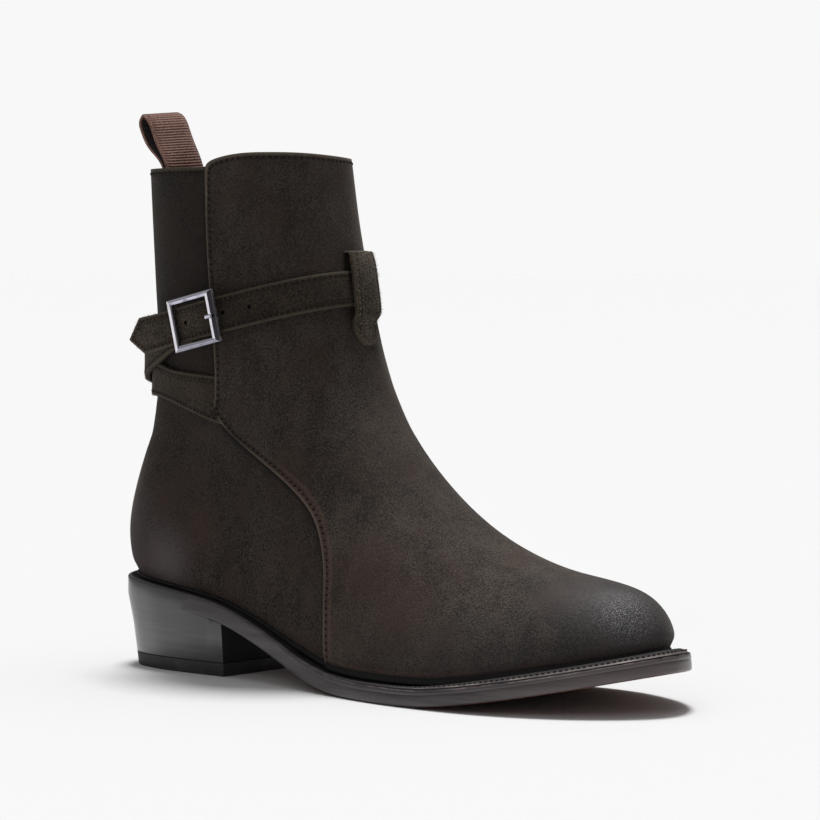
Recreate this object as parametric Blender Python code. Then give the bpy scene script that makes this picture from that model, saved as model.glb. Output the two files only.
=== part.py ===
"""A strapped suede ankle boot for the right foot, as separate solids in metres, +Z up.

X runs forward to the toe, Y to the inner (medial) side and Z up. The origin is on the floor
under the middle of the heel. A station is a distance forward from the back of the heel seat.
"""
import math

import bmesh
import bpy
import numpy as np
from mathutils import Matrix, Vector


def table(names, *rows):
    """Columns of a short table by name, from its rows."""
    return dict(zip(names.split(), np.array(rows).T))


# Driving dimensions
LENGTH = 0.300            # outsole, heel to toe
BALL_WIDTH = 0.102        # outsole across the ball
HEEL_HEIGHT = 0.034       # underside of the outsole at the heel's back
TOE_SPRING = 0.0175       # underside of the outsole at the toe tip
TOPLINE = 0.2268          # quarter's top edge above the floor
VAMP_RISE = 0.0062        # vamp's top edge above the quarter's
TOE_SWING = 0.006         # toe tip towards the inner side
SWING_FROM = 0.3          # share of LENGTH where that swing starts
SPRING_POWER = 1.35       # how late the toe spring lifts
HEEL_CENTRE = 0.036       # station of the origin

# Thicknesses and gaps
GAP = 0.0003              # between pieces that touch
FEATHER_GAP = 0.0006      # between the upper's curved lower edge and the welt
OUTSOLE_THICK = 0.005
WELT_THICK = 0.003
WALL = 0.0021             # quarter with its lining
VAMP_THICK = 0.0013
STRAP_THICK = 0.0023
STRAP_WIDTH = 0.0150
TOP_LIFT = 0.006
INSOLE_THICK = 0.003

# Plan of the outsole: station in LENGTHs, half widths from the centre line in BALL_WIDTHs
OUTLINE = table(
    "station lateral medial",
    (0.000, 0.000, 0.000),
    (0.008, 0.140, 0.140),
    (0.037, 0.258, 0.254),
    (0.100, 0.328, 0.322),
    (0.175, 0.344, 0.328),
    (0.265, 0.340, 0.304),
    (0.385, 0.373, 0.265),
    (0.500, 0.455, 0.290),
    (0.615, 0.525, 0.392),
    (0.705, 0.538, 0.462),
    (0.795, 0.506, 0.470),
    (0.875, 0.420, 0.405),
    (0.938, 0.300, 0.300),
    (0.977, 0.176, 0.180),
    (0.995, 0.082, 0.082),
    (1.000, 0.000, 0.000),
)

# Underside of the outsole: station in LENGTHs, height in HEEL_HEIGHTs, with a flat tread at the ball
ARCH = table(
    "station height",
    (0.000, 1.000),
    (0.135, 0.880),
    (0.260, 0.715),
    (0.350, 0.450),
    (0.440, 0.155),
    (0.510, 0.028),
    (0.560, 0.000),
    (0.670, 0.000),
)

# Side profile of the upper: station in LENGTHs, height in TOPLINEs
RIDGE = table(            # up the front, from the toe's lower edge to the collar
    "station height",
    (0.9780, 0.104),
    (0.9730, 0.158),
    (0.9440, 0.206),
    (0.8900, 0.228),
    (0.7930, 0.2435),
    (0.6770, 0.296),
    (0.5790, 0.383),
    (0.4957, 0.493),
    (0.4477, 0.615),
    (0.4177, 0.746),
    (0.3877, 0.896),
    (0.3710, 1.000),
)
BACK = table(             # up the back of the heel to the collar
    "station height",
    (0.0110, 0.178),
    (-0.0060, 0.220),
    (-0.0120, 0.279),
    (0.0075, 0.375),
    (0.0400, 0.493),
    (0.0500, 0.608),
    (0.0520, 0.768),
    (0.0520, 1.000),
)

# Plan of the shaft: height in TOPLINEs, half widths in BALL_WIDTHs, power of the rounded section
SHAFT = table(
    "height lateral medial power",
    (0.307, 0.325, 0.325, 2.3),
    (0.530, 0.333, 0.325, 2.3),
    (0.749, 0.358, 0.353, 2.3),
    (1.000, 0.377, 0.373, 2.3),
)
WELT_MARGIN = 0.0050      # how far the outsole stands out past the upper
FOOT_POWER = 2.2          # fullness of a section across the foot
HEEL_ROUND = 0.042        # station where the heel's round back starts
HEEL_POWER = 2.4
TUCK = 0.066              # share of its width that the upper draws in at the welt
TUCK_HEIGHT = 0.010
FOLLOW_TO = 0.55          # rings follow the sole's curve below this share of the upper
SHAFT_FROM = 0.20         # foot sections turn into shaft sections between these shares
SHAFT_TO = 0.62
SIDES = {"lateral": -1, "medial": 1}    # outer and inner side, with the sign of Y


def through(knots, values, at):
    """A smooth curve through the values at the knots."""
    knots = np.asarray(knots, float)
    values = np.asarray(values, float)
    slopes = np.gradient(values, knots)
    i = np.clip(np.searchsorted(knots, at) - 1, 0, len(knots) - 2)
    span = knots[i + 1] - knots[i]
    t = np.clip((at - knots[i]) / span, 0.0, 1.0)
    keep = 2 * t**3 - 3 * t**2 + 1
    lead = (t**3 - 2 * t**2 + t) * span
    trail = (t**3 - t**2) * span
    return keep * values[i] + (1 - keep) * values[i + 1] + lead * slopes[i] + trail * slopes[i + 1]


def ease(start, end, at):
    """From 0 at start to 1 at end, level at both."""
    t = np.clip((at - start) / (end - start), 0.0, 1.0)
    return t * t * (3 - 2 * t)


def chord_shares(points):
    """Each point's share of the way along the polyline through them."""
    steps = np.hypot(*np.diff(points, axis=0).T)
    way = np.concatenate([[0.0], np.cumsum(steps)])
    return way / way[-1]


def dense_curve(first, second, count=400):
    """Many points on a smooth plane curve through two columns."""
    points = np.stack([first, second], axis=-1)
    shares = chord_shares(points)
    at = np.linspace(0.0, 1.0, count)
    return through(shares, points[:, 0], at), through(shares, points[:, 1], at), at


def outline_side(side):
    stations, widths, _ = dense_curve(OUTLINE["station"] * LENGTH, OUTLINE[side] * BALL_WIDTH)
    return np.maximum.accumulate(stations), widths


OUTLINE_SIDES = {side: outline_side(side) for side in SIDES}
RIDGE_STATION, RIDGE_HEIGHT, PROFILE_SHARE = dense_curve(RIDGE["station"] * LENGTH, RIDGE["height"] * TOPLINE)
BACK_STATION, BACK_HEIGHT, _ = dense_curve(BACK["station"] * LENGTH, BACK["height"] * TOPLINE)
TOE_STATION = RIDGE_STATION[0]


def half_width(station, side):
    stations, widths = OUTLINE_SIDES[side]
    return np.interp(station, stations, widths)


def centre(station):
    """The foot's centre line swings inwards at the toe."""
    return TOE_SWING * ease(SWING_FROM * LENGTH, LENGTH, station)


def underside(station):
    """Height of the outsole's underside."""
    arch = through(ARCH["station"] * LENGTH, ARCH["height"] * HEEL_HEIGHT, station)
    lift_from = ARCH["station"][-1] * LENGTH
    lift = np.clip((station - lift_from) / (LENGTH - lift_from), 0.0, 1.0)
    return np.maximum(arch, 0.0) + TOE_SPRING * lift**SPRING_POWER


def feather(station):
    """Height of the line where the upper meets the welt."""
    return underside(np.clip(station, 0.0, LENGTH)) + OUTSOLE_THICK + WELT_THICK + FEATHER_GAP


def foot_width(station, height, back, side):
    """Half width of the foot's section, rounded off over the ridge and at the heel."""
    order = np.argsort(RIDGE_STATION)
    ridge = np.interp(station, RIDGE_STATION[order], RIDGE_HEIGHT[order])
    floor = feather(station)
    rise = np.clip((height - floor) / np.maximum(ridge - floor, 1e-6), 0.0, 1.0)
    forward = np.clip(station - HEEL_ROUND, 0.0, None) * (LENGTH - HEEL_ROUND) / (TOE_STATION - HEEL_ROUND)
    plan = half_width(HEEL_ROUND + forward, side) * (1 - WELT_MARGIN / (0.5 * BALL_WIDTH))
    behind = np.clip((HEEL_ROUND - station) / (HEEL_ROUND - back), 0.0, 1.0)
    heel = (1 - behind**HEEL_POWER) ** (1 / HEEL_POWER)
    return plan * heel * np.sqrt(1 - rise**FOOT_POWER)


def shaft_width(station, height, back, front, side):
    """Half width of the shaft's section, a rounded oval from back to front."""
    at = np.clip(height / TOPLINE, SHAFT["height"][0], SHAFT["height"][-1])
    widest = through(SHAFT["height"], SHAFT[side] * BALL_WIDTH, at)
    power = through(SHAFT["height"], SHAFT["power"], at)
    along = np.abs(2 * (station - back) / (front - back) - 1)
    return widest * np.clip(1 - along**power, 0.0, 1.0) ** (1 / power)


def ring(share, turn):
    """Points of the upper's outer face on one ring, at turns from 0 (back) by the outer side
    to 1 (front) and on by the inner side to 2."""
    back = np.interp(share, PROFILE_SHARE, BACK_STATION)
    back_height = np.interp(share, PROFILE_SHARE, BACK_HEIGHT)
    front = np.interp(share, PROFILE_SHARE, RIDGE_STATION)
    front_height = np.interp(share, PROFILE_SHARE, RIDGE_HEIGHT)
    lateral = turn <= 1.0
    way = np.where(lateral, turn, 2.0 - turn)
    station = back + (front - back) * (1 - np.cos(np.pi * way)) / 2
    along = (station - back) / (front - back)
    level = back_height + (front_height - back_height) * along
    sole_level = feather(back) + (feather(front) - feather(back)) * along
    follow = 1 - ease(0.0, FOLLOW_TO, share)
    height = level + follow * (feather(station) - sole_level)
    mean_height = (back_height + front_height) / 2
    blend = ease(SHAFT_FROM, SHAFT_TO, share)
    widths = {}
    for side in SIDES:
        foot = foot_width(station, height, back, side)
        shaft = shaft_width(station, mean_height, back, front, side)
        widths[side] = foot * (1 - blend) + shaft * blend
    width = np.where(lateral, widths["lateral"], widths["medial"])
    width = width * (1 - TUCK * (1 - ease(0.0, TUCK_HEIGHT, height - feather(station))))
    x = station - HEEL_CENTRE
    y = centre(station) + np.where(lateral, -width, width)
    return np.stack([x, y, height], axis=-1)


# Back edge of the vamp, the same on both sides: share of the upper's height, turn from the back
VAMP_EDGE = table(
    "share turn",
    (0.00, 0.492),
    (0.10, 0.518),
    (0.20, 0.551),
    (0.30, 0.575),
    (0.36, 0.579),
    (0.39, 0.565),
    (0.44, 0.503),
    (0.475, 0.441),
    (0.50, 0.426),
    (0.56, 0.454),
    (0.63, 0.485),
    (0.70, 0.505),
    (0.85, 0.533),
    (1.00, 0.568),
)
VAMP_CORNER = 0.026       # length of the vamp's rounded top back corner
VAMP_LIFT_FROM = 0.90     # share of the upper above which the vamp's rise starts
LINING_DROP = 0.0008      # the lining ends this far under the vamp's top edge
INNER_DROP = 0.0020       # the vamp rises this much less on the inner side
FRONT_TURN = 0.025        # reach of that change to each side of the front
VAMP_RECESS = 0.0011      # under the vamp the quarter's wall is this much thinner
VAMP_LAP = 0.010          # its full wall runs on this far under the vamp's edges
QUARTER_COLUMNS = 9       # on each side
VAMP_COLUMNS = 13
VAMP_CROWDING = 1.25      # how much the vamp's columns crowd towards the front
EDGE_SHARES = (0.018, 0.050)    # extra columns close to its back edge, as shares of the panel
RINGS = (0.0, 0.012, 0.03, 0.055, 0.09, 0.13, 0.18, 0.23, 0.28, 0.33, 0.375, 0.42, 0.465, 0.51,
         0.56, 0.61, 0.66, 0.71, 0.76, 0.81, 0.86, 0.91, 0.95, 0.98, 1.0)


def column_turns(share):
    """Turns of the columns on one ring, with one column on each of the vamp's back edges."""
    edge = through(VAMP_EDGE["share"], VAMP_EDGE["turn"], share)
    behind = edge * np.arange(QUARTER_COLUMNS) / QUARTER_COLUMNS
    shares = 1 - (1 - np.arange(VAMP_COLUMNS + 1) / VAMP_COLUMNS) ** VAMP_CROWDING
    ahead = edge + (1 - edge) * np.sort(np.concatenate([shares, EDGE_SHARES]))
    half = np.concatenate([behind, ahead])
    return np.concatenate([half, 2.0 - half[-2:0:-1]])


def inside_vamp(loop):
    """How far each column of a ring is in front of the vamp's nearest back edge."""
    steps = np.linalg.norm(np.diff(loop, axis=0), axis=1)
    way = np.concatenate([[0.0], np.cumsum(steps)])
    return way, np.minimum(way - way[QUARTER_COLUMNS], way[-QUARTER_COLUMNS] - way)


def vamp_rise(loop, share):
    """How far the vamp's columns are lifted near the collar, with a rounded back corner."""
    way, inside = inside_vamp(loop)
    front = way[QUARTER_COLUMNS + VAMP_COLUMNS + len(EDGE_SHARES)]
    short = np.clip(1 - inside / VAMP_CORNER, 0.0, 1.0)
    corner = np.where(inside > 0, np.sqrt(1 - short**2), 0.0)
    rise = VAMP_RISE - INNER_DROP * ease(-FRONT_TURN, FRONT_TURN, way - front)
    return rise * corner * ease(VAMP_LIFT_FROM, 1.0, share)


def vamp_recess(grid):
    """How far the wall steps in under the vamp, from nothing at the vamp's back edges."""
    depth = [VAMP_RECESS * ease(0.0, VAMP_LAP, inside_vamp(loop)[1]) for loop in grid]
    return np.array(depth)[..., None]


def normals_of(grid, closed):
    """Outward normals of a grid of rings, by differences between neighbours."""
    if closed:
        across = np.roll(grid, -1, axis=1) - np.roll(grid, 1, axis=1)
    else:
        across = np.gradient(grid, axis=1)
    upward = np.gradient(grid, axis=0)
    normal = np.cross(across, upward)
    return normal / np.maximum(np.linalg.norm(normal, axis=-1, keepdims=True), 1e-12)


def upper_grid():
    """The outer face of the upper as rings of columns, with its normals."""
    rings = []
    for share in RINGS:
        loop = ring(share, column_turns(share))
        loop[:, 2] += vamp_rise(loop, share)
        rings.append(loop)
    grid = np.array(rings)
    return grid, normals_of(grid, closed=True)


DENSE_SHARES = np.linspace(0.0, 1.0, 161)
DENSE_TURNS = np.linspace(0.0, 2.0, 401)
DENSE = np.array([ring(share, DENSE_TURNS) for share in DENSE_SHARES])
DENSE_NORMALS = normals_of(DENSE[:, :-1], closed=True)
DENSE_NORMALS = np.concatenate([DENSE_NORMALS, DENSE_NORMALS[:, :1]], axis=1)


def skin_at(turn, height, lift=0.0):
    """The point of the upper's outer face at a turn and a height, raised along the normal."""
    place = (turn % 2.0) / (DENSE_TURNS[1] - DENSE_TURNS[0])
    left = min(int(place), len(DENSE_TURNS) - 2)
    part = place - left
    point = np.zeros(3)
    for column, weight in ((left, 1 - part), (left + 1, part)):
        heights = DENSE[:, column, 2]
        for axis in range(3):
            on_face = np.interp(height, heights, DENSE[:, column, axis])
            slant = np.interp(height, heights, DENSE_NORMALS[:, column, axis])
            point[axis] += weight * (on_face + lift * slant)
    return point


def turn_from_front(height, distance):
    """The turn at a distance round the shaft from its front, positive to the outer side."""
    turns = np.linspace(0.5, 1.5, 201)
    points = np.array([skin_at(turn, height) for turn in turns])
    way = np.concatenate([[0.0], np.cumsum(np.linalg.norm(np.diff(points, axis=0), axis=1))])
    front = np.interp(1.0, turns, way)
    return float(np.interp(front - distance, way, turns))


# Scene helpers
def clear_scene():
    for existing in list(bpy.data.objects):
        bpy.data.objects.remove(existing, do_unlink=True)


def new_collection(name):
    collection = bpy.data.collections.new(name)
    bpy.context.scene.collection.children.link(collection)
    return collection


def finish_material(name, colour, roughness, metallic=0.0):
    material = bpy.data.materials.new(name)
    material.use_nodes = True
    shader = material.node_tree.nodes["Principled BSDF"]
    shader.inputs["Base Color"].default_value = (*colour, 1.0)
    shader.inputs["Roughness"].default_value = roughness
    shader.inputs["Metallic"].default_value = metallic
    return material


def add_solid(name, corners, faces, material, collection):
    """One closed solid from lofted corners, merged where ends meet, with its faces outward."""
    mesh = bpy.data.meshes.new(name)
    work = bmesh.new()
    placed = [work.verts.new(corner) for corner in corners]
    for face in faces:
        work.faces.new([placed[index] for index in face])
    bmesh.ops.remove_doubles(work, verts=work.verts, dist=1e-6)
    bmesh.ops.recalc_face_normals(work, faces=work.faces)
    work.to_mesh(mesh)
    work.free()
    mesh.shade_smooth()
    mesh.set_sharp_from_angle(angle=math.radians(40))
    mesh.materials.append(material)
    piece = bpy.data.objects.new(name, mesh)
    collection.objects.link(piece)
    return piece


def thick_sheet(name, outer, inner, material, collection, closed=False):
    """A wall between two grids of the same size: rows by columns, closed round the columns or not.
    Every cell is split along the same diagonal, so that walls cut from one grid stay apart."""
    rows, columns = outer.shape[:2]
    corners = np.concatenate([outer.reshape(-1, 3), inner.reshape(-1, 3)])
    far = rows * columns
    faces = []

    def at(row, column, layer=0):
        return layer * far + row * columns + column % columns

    spans = columns if closed else columns - 1
    for column in range(spans):
        for row in range(rows - 1):
            start, end = at(row, column), at(row + 1, column + 1)
            for third in ((at(row, column + 1), end), (end, at(row + 1, column))):
                triangle = (start, *third)
                faces.append(triangle)
                faces.append(tuple(far + index for index in reversed(triangle)))
        for row in (0, rows - 1):
            faces.append((at(row, column), at(row, column + 1), at(row, column + 1, 1), at(row, column, 1)))
    if not closed:
        for column in (0, columns - 1):
            for row in range(rows - 1):
                faces.append((at(row, column), at(row + 1, column),
                              at(row + 1, column, 1), at(row, column, 1)))
    return add_solid(name, corners, faces, material, collection)


def stack(name, levels, material, collection):
    """A solid through levels, each an outer and an inner side line that start together at the
    heel, with ladder faces across the first and last level."""
    count = len(levels[0][0])
    corners = np.concatenate([np.concatenate(level) for level in levels])
    faces = []

    def at(level, side, step):
        return (level * 2 + side) * count + step

    for level in range(len(levels) - 1):
        for side in (0, 1):
            for step in range(count - 1):
                faces.append((at(level, side, step), at(level, side, step + 1),
                              at(level + 1, side, step + 1), at(level + 1, side, step)))
        faces.append((at(level, 0, count - 1), at(level, 1, count - 1),
                      at(level + 1, 1, count - 1), at(level + 1, 0, count - 1)))
    for level in (0, len(levels) - 1):
        for step in range(count - 1):
            faces.append((at(level, 0, step), at(level, 1, step),
                          at(level, 1, step + 1), at(level, 0, step + 1)))
    return add_ladder_solid(name, corners, faces, material, collection)


def add_ladder_solid(name, corners, faces, material, collection):
    """add_solid for faces that may fold to a triangle or to nothing where two lines meet."""
    kept = []
    for face in faces:
        ring_of_corners = []
        for index in face:
            point = corners[index]
            if all(np.linalg.norm(point - corners[other]) > 1e-7 for other in ring_of_corners):
                ring_of_corners.append(index)
        if len(ring_of_corners) >= 3:
            kept.append(tuple(ring_of_corners))
    return add_solid(name, corners, kept, material, collection)


# Plan lines of the sole
SOLE_STEPS = 40


def drawn_in(plan, inset, at):
    """Half widths of a plan, given as stations and half widths, drawn in by a distance all round."""
    offsets = inset * np.sin(np.linspace(-np.pi / 2, np.pi / 2, 61))
    reach = np.sqrt(np.maximum(inset**2 - offsets**2, 0.0))
    widths = np.interp(at[:, None] + offsets, *plan, left=0.0, right=0.0) - reach
    return np.maximum(widths.min(axis=1), 0.0)


def plan_lines(plans, first, last, inset):
    """The outer and inner side line of a plan between two stations, drawn in by a distance."""
    stations = first + (last - first) * (1 - np.cos(np.linspace(0.0, np.pi, SOLE_STEPS + 1))) / 2
    lines = []
    for side, sign in SIDES.items():
        y = centre(stations) + sign * drawn_in(plans[side], inset, stations)
        lines.append(np.stack([stations, y], axis=-1))
    return lines


def side_lines(inset):
    """The outsole's outline drawn in by a distance."""
    return plan_lines(OUTLINE_SIDES, inset, LENGTH - inset, inset)


def raised(lines, height_of):
    """Plan lines in stations, given heights and moved into the boot's frame."""
    placed = []
    for station, y in (line.T for line in lines):
        placed.append(np.stack([station - HEEL_CENTRE, y, height_of(station)], axis=-1))
    return placed


def loop_of(lines):
    """One closed loop from the two side lines that meet at heel and toe."""
    lateral, medial = lines
    return np.concatenate([lateral, medial[-2:0:-1]])


# Pieces of the bottom
EDGE_ROUND = 0.0010       # rounding of the outsole's lower edge
WELT_STEP = 0.0004        # the welt is trimmed this far inside the outsole
WELT_WIDTH = 0.0110
BREAST = 0.0780           # station of the heel's front face at the top
BREAST_FOOT = 0.0765      # and at the floor
HEEL_LEAN = 0.0040        # the heel's back comes forward this far at the floor
HEEL_TAPER = 0.905        # its width at the floor as a share of the top


def build_outsole(collection, material):
    top = OUTSOLE_THICK
    levels = [
        raised(side_lines(EDGE_ROUND), underside),
        raised(side_lines(0.0), lambda s: underside(s) + EDGE_ROUND),
        raised(side_lines(0.0), lambda s: underside(s) + top - EDGE_ROUND / 2),
        raised(side_lines(EDGE_ROUND / 2), lambda s: underside(s) + top),
    ]
    return stack("outsole", levels, material, collection)


def build_welt(collection, material):
    def loops(height):
        def lifted(station):
            return underside(np.clip(station, 0.0, LENGTH)) + height
        outer = loop_of(raised(side_lines(WELT_STEP), lifted))
        inner = loop_of(raised(side_lines(WELT_WIDTH), lifted))
        return np.array([outer, inner])
    low = loops(OUTSOLE_THICK + GAP)
    high = loops(OUTSOLE_THICK + WELT_THICK)
    return thick_sheet("welt", high, low, material, collection, closed=True)


def heel_level(share, height_of):
    """The heel's plan at a share of the way down from the seat to the floor."""
    lines = plan_lines(OUTLINE_SIDES, GAP, BREAST, GAP)
    back = HEEL_LEAN * share
    front = BREAST + (BREAST_FOOT - BREAST) * share
    taper = 1 + (HEEL_TAPER - 1) * share
    moved = []
    for line in lines:
        station = back + line[:, 0] * (front - back) / BREAST
        moved.append(np.stack([station, line[:, 1] * taper], axis=-1))
    return raised(moved, height_of)


def build_heel(collection, block_material, lift_material):
    def seat(station):
        return underside(station) - GAP
    lift_share = 1 - TOP_LIFT / HEEL_HEIGHT
    block = [
        heel_level(0.0, seat),
        heel_level(lift_share / 2, lambda s: seat(s) + (TOP_LIFT + GAP - seat(s)) / 2),
        heel_level(lift_share, lambda s: np.full_like(s, TOP_LIFT + GAP)),
    ]
    lift = [
        heel_level(lift_share, lambda s: np.full_like(s, TOP_LIFT)),
        heel_level(1.0, lambda s: np.zeros_like(s)),
    ]
    return (stack("heel", block, block_material, collection),
            stack("top_lift", lift, lift_material, collection))


def build_insole(collection, material):
    """A stepped insole: its core lies inside the welt and its edge over the welt's inner part."""
    way = np.linspace(0.0, 1.0, 200)
    foot = {}
    for side, turns in (("lateral", way), ("medial", 2.0 - way)):
        wall = ring(RINGS[0], turns)
        stations = wall[:, 0] + HEEL_CENTRE
        foot[side] = (stations, np.abs(wall[:, 1] - centre(stations)))
    inset = WALL + 2 * GAP
    edge = plan_lines(foot, stations[0] + inset, stations[-1] - inset, inset)
    core = side_lines(WELT_WIDTH + 2 * GAP)
    under = OUTSOLE_THICK + GAP
    over = OUTSOLE_THICK + WELT_THICK + GAP
    levels = [
        raised(core, lambda s: underside(s) + under),
        raised(core, lambda s: underside(s) + over),
        raised(edge, lambda s: underside(s) + over),
        raised(edge, lambda s: underside(s) + over + INSOLE_THICK),
    ]
    return stack("insole", levels, material, collection)


# Pieces of the upper
def kept_above_welt(grid):
    grid = grid.copy()
    floor = feather(grid[..., 0] + HEEL_CENTRE)
    grid[..., 2] = np.maximum(grid[..., 2], floor)
    return grid


def build_upper(collection, suede, vamp_suede):
    grid, normal = upper_grid()
    edge = QUARTER_COLUMNS
    columns = grid.shape[1]
    lining = grid.copy()
    under_vamp = slice(edge + 1, columns - edge)
    fall = ease(VAMP_LIFT_FROM, 1.0, np.array(RINGS))[:, None]
    lining[:, under_vamp, 2] -= LINING_DROP * fall
    recess = vamp_recess(grid)
    inner = kept_above_welt(lining - WALL * normal)
    outer = kept_above_welt(lining - recess * normal)
    upper = thick_sheet("upper", outer, inner, suede, collection, closed=True)
    panel = slice(edge, columns - edge + 1)
    low = kept_above_welt(grid + (GAP - recess) * normal)[:, panel]
    high = kept_above_welt(grid + (GAP + VAMP_THICK - recess) * normal)[:, panel]
    vamp = thick_sheet("vamp", high, low, vamp_suede, collection)
    return upper, vamp


# Straps: turn round the shaft (0 back, down through -1 front to -2 back again), height, lift
ON_QUARTER = 0.0004
ON_VAMP = 0.0012
OVER_LAP = 0.0021          # over the vamp's back edge
OVER_STRAP = 0.0032
ANKLE_STRAP = table(
    "turn height lift",
    (0.417, 0.1222, ON_QUARTER),
    (0.300, 0.1290, ON_QUARTER),
    (0.000, 0.1330, ON_QUARTER),
    (-0.250, 0.1460, 0.0008),
    (-0.450, 0.1565, OVER_LAP),
    (-0.700, 0.1670, ON_VAMP),
    (-1.000, 0.1725, ON_VAMP),
    (-1.140, 0.1708, ON_VAMP),
    (-1.290, 0.1670, ON_VAMP),
    (-1.400, 0.1632, 0.0032),
    (-1.490, 0.1600, 0.0054),
    (-1.560, 0.1576, 0.0058),
)
BUCKLE_STRAP = table(
    "turn height lift",
    (-0.417, 0.1228, ON_QUARTER),
    (-0.310, 0.1262, 0.0014),
    (-0.240, 0.1285, OVER_STRAP),
    (0.000, 0.1340, 0.0044),
    (0.240, 0.1465, OVER_STRAP),
    (0.320, 0.1520, 0.0016),
    (0.430, 0.1572, ON_QUARTER),
)
STRAP_END = 0.0370        # straight free end past the buckle's middle
STRAP_POINT = 0.0090      # length of its pointed tip
END_FLARE = 1.07          # the free end's width before its tip, as a share of the strap's
TIP_SHARE = 0.04          # the tip's width, likewise
STRAP_STEPS = 64
BUCKLE_STEPS = 30


def along_route(route, column, turns):
    """A strap's height or lift at turns round the shaft."""
    order = np.argsort(route["turn"])
    return through(route["turn"][order], route[column][order], turns)


def strap_lines(route, steps):
    """Lower and upper edge of a strap on its inner and its outer face, along its route."""
    at = np.linspace(0.0, 1.0, len(route["turn"]))
    turns = np.interp(np.linspace(0.0, 1.0, steps + 1), at, route["turn"])
    heights = along_route(route, "height", turns)
    lifts = along_route(route, "lift", turns)
    middle = np.array([skin_at(turn, height) for turn, height in zip(turns, heights)])
    pace = np.gradient(middle, axis=0)
    steep = np.abs(pace[:, 2]) / np.linalg.norm(pace, axis=1)
    half = 0.5 * STRAP_WIDTH / np.sqrt(1 - steep**2)
    faces = []
    for rise in (0.0, STRAP_THICK):
        low = [skin_at(t, h - w, l + rise) for t, h, w, l in zip(turns, heights, half, lifts)]
        high = [skin_at(t, h + w, l + rise) for t, h, w, l in zip(turns, heights, half, lifts)]
        faces.append(np.array([low, high]))
    return faces


def with_free_end(face):
    """The strap's face carried straight on past its last column to a pointed tip."""
    run = face[:, -1] - face[:, -2]
    ahead = run.mean(axis=0)
    ahead = ahead / np.linalg.norm(ahead)
    middle = face[:, -1].mean(axis=0)
    spread = face[:, -1] - middle
    straight = STRAP_END - STRAP_POINT
    columns = []
    for distance, share in ((straight / 2, 1.0), (straight, END_FLARE), (STRAP_END, TIP_SHARE)):
        columns.append(middle + ahead * distance + spread * share)
    return np.concatenate([face, np.stack(columns, axis=1)], axis=1)


def build_straps(collection, material):
    inner, outer = strap_lines(ANKLE_STRAP, STRAP_STEPS)
    ankle = thick_sheet("ankle_strap", with_free_end(outer), with_free_end(inner), material, collection)
    inner, outer = strap_lines(BUCKLE_STRAP, BUCKLE_STEPS)
    short = thick_sheet("buckle_strap", outer, inner, material, collection)
    return ankle, short


# Keeper on the shaft's front: height, lift of its inner face, half width, shift to the inner side
KEEPER_THICK = 0.0022
OVER_ANKLE_STRAP = 0.0040
KEEPER = table(
    "height lift half_width shift",
    (0.1892, 0.0012, 0.0060, 0.0056),
    (0.1876, 0.0048, 0.0073, 0.0056),
    (0.1815, 0.0052, 0.0078, 0.0054),
    (0.1720, 0.0044, 0.0080, 0.0048),
    (0.1620, OVER_ANKLE_STRAP, 0.0080, 0.0040),
    (0.1590, 0.0027, 0.0080, 0.0036),
    (0.1572, 0.0012, 0.0079, 0.0034),
    (0.1532, 0.0018, 0.0076, 0.0032),
    (0.1496, 0.0015, 0.0060, 0.0032),
    (0.1478, 0.0012, 0.0032, 0.0032),
)
KEEPER_ACROSS = 6


def build_keeper(collection, material):
    across = np.linspace(-1.0, 1.0, KEEPER_ACROSS + 1)
    inner, outer = [], []
    for height, lift, half, shift in zip(*KEEPER.values()):
        turns = [turn_from_front(height, half * share - shift) for share in across]
        inner.append([skin_at(turn, height, lift) for turn in turns])
        outer.append([skin_at(turn, height, lift + KEEPER_THICK) for turn in turns])
    return thick_sheet("strap_keeper", np.array(outer), np.array(inner), material, collection)


# Buckle: a flat frame over the strap, a bar under it and a prong
BUCKLE_TURN = 0.4945
BUCKLE_HEIGHT = 0.1593
BUCKLE_LONG = 0.0292
BUCKLE_TALL = 0.0234
BAR_FRONT = 0.0042
BAR_BACK = 0.0030
BAR_SIDE = 0.0024
FRAME_THICK = 0.0022
FRAME_LIFT = 0.0086
PIN_RADIUS = 0.0009
PIN_LIFT = 0.0041
PRONG_WIDE = 0.0020
PRONG_THICK = 0.0012
PRONG_LONG = 0.0062
PRONG_INSET = 0.0006      # its tip inside the frame's front edge
PRONG_TIP = 0.77          # the tip's width as a share of the prong's
FRAME_CORNER = 0.0016
WINDOW_CORNER = 0.0008
FRAME_BEVEL = 0.0004


def buckle_axes():
    """Where the buckle sits: a matrix with X back along the strap, Y up across it, Z outwards."""
    here = skin_at(BUCKLE_TURN, BUCKLE_HEIGHT)
    turns = BUCKLE_TURN + 0.02 * np.array([1, -1])
    heights = along_route(ANKLE_STRAP, "height", turns - 2.0)
    fore, aft = (skin_at(turn, height) for turn, height in zip(turns, heights))
    along = Vector(aft - fore).normalized()
    out = Vector(skin_at(BUCKLE_TURN, BUCKLE_HEIGHT, 1.0) - here).normalized()
    across = out.cross(along).normalized()
    out = along.cross(across).normalized()
    turned = Matrix((along, across, out)).transposed().to_4x4()
    turned.translation = Vector(here)
    return turned


def add_rectangle(curve, left, right, low, high, corner, arc_steps=3):
    """A closed spline round a rectangle with rounded corners."""
    points = []
    for x, y, start in ((right - corner, high - corner, 0), (left + corner, high - corner, 90),
                        (left + corner, low + corner, 180), (right - corner, low + corner, 270)):
        for step in range(arc_steps + 1):
            angle = math.radians(start + 90 * step / arc_steps)
            points.append((x + corner * math.cos(angle), y + corner * math.sin(angle), 0.0))
    add_spline(curve, points, cyclic=True)


def add_spline(curve, points, cyclic=False):
    line = curve.splines.new("POLY")
    line.points.add(len(points) - 1)
    for point, place in zip(line.points, points):
        point.co = (*place, 1.0)
    line.use_cyclic_u = cyclic


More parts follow.
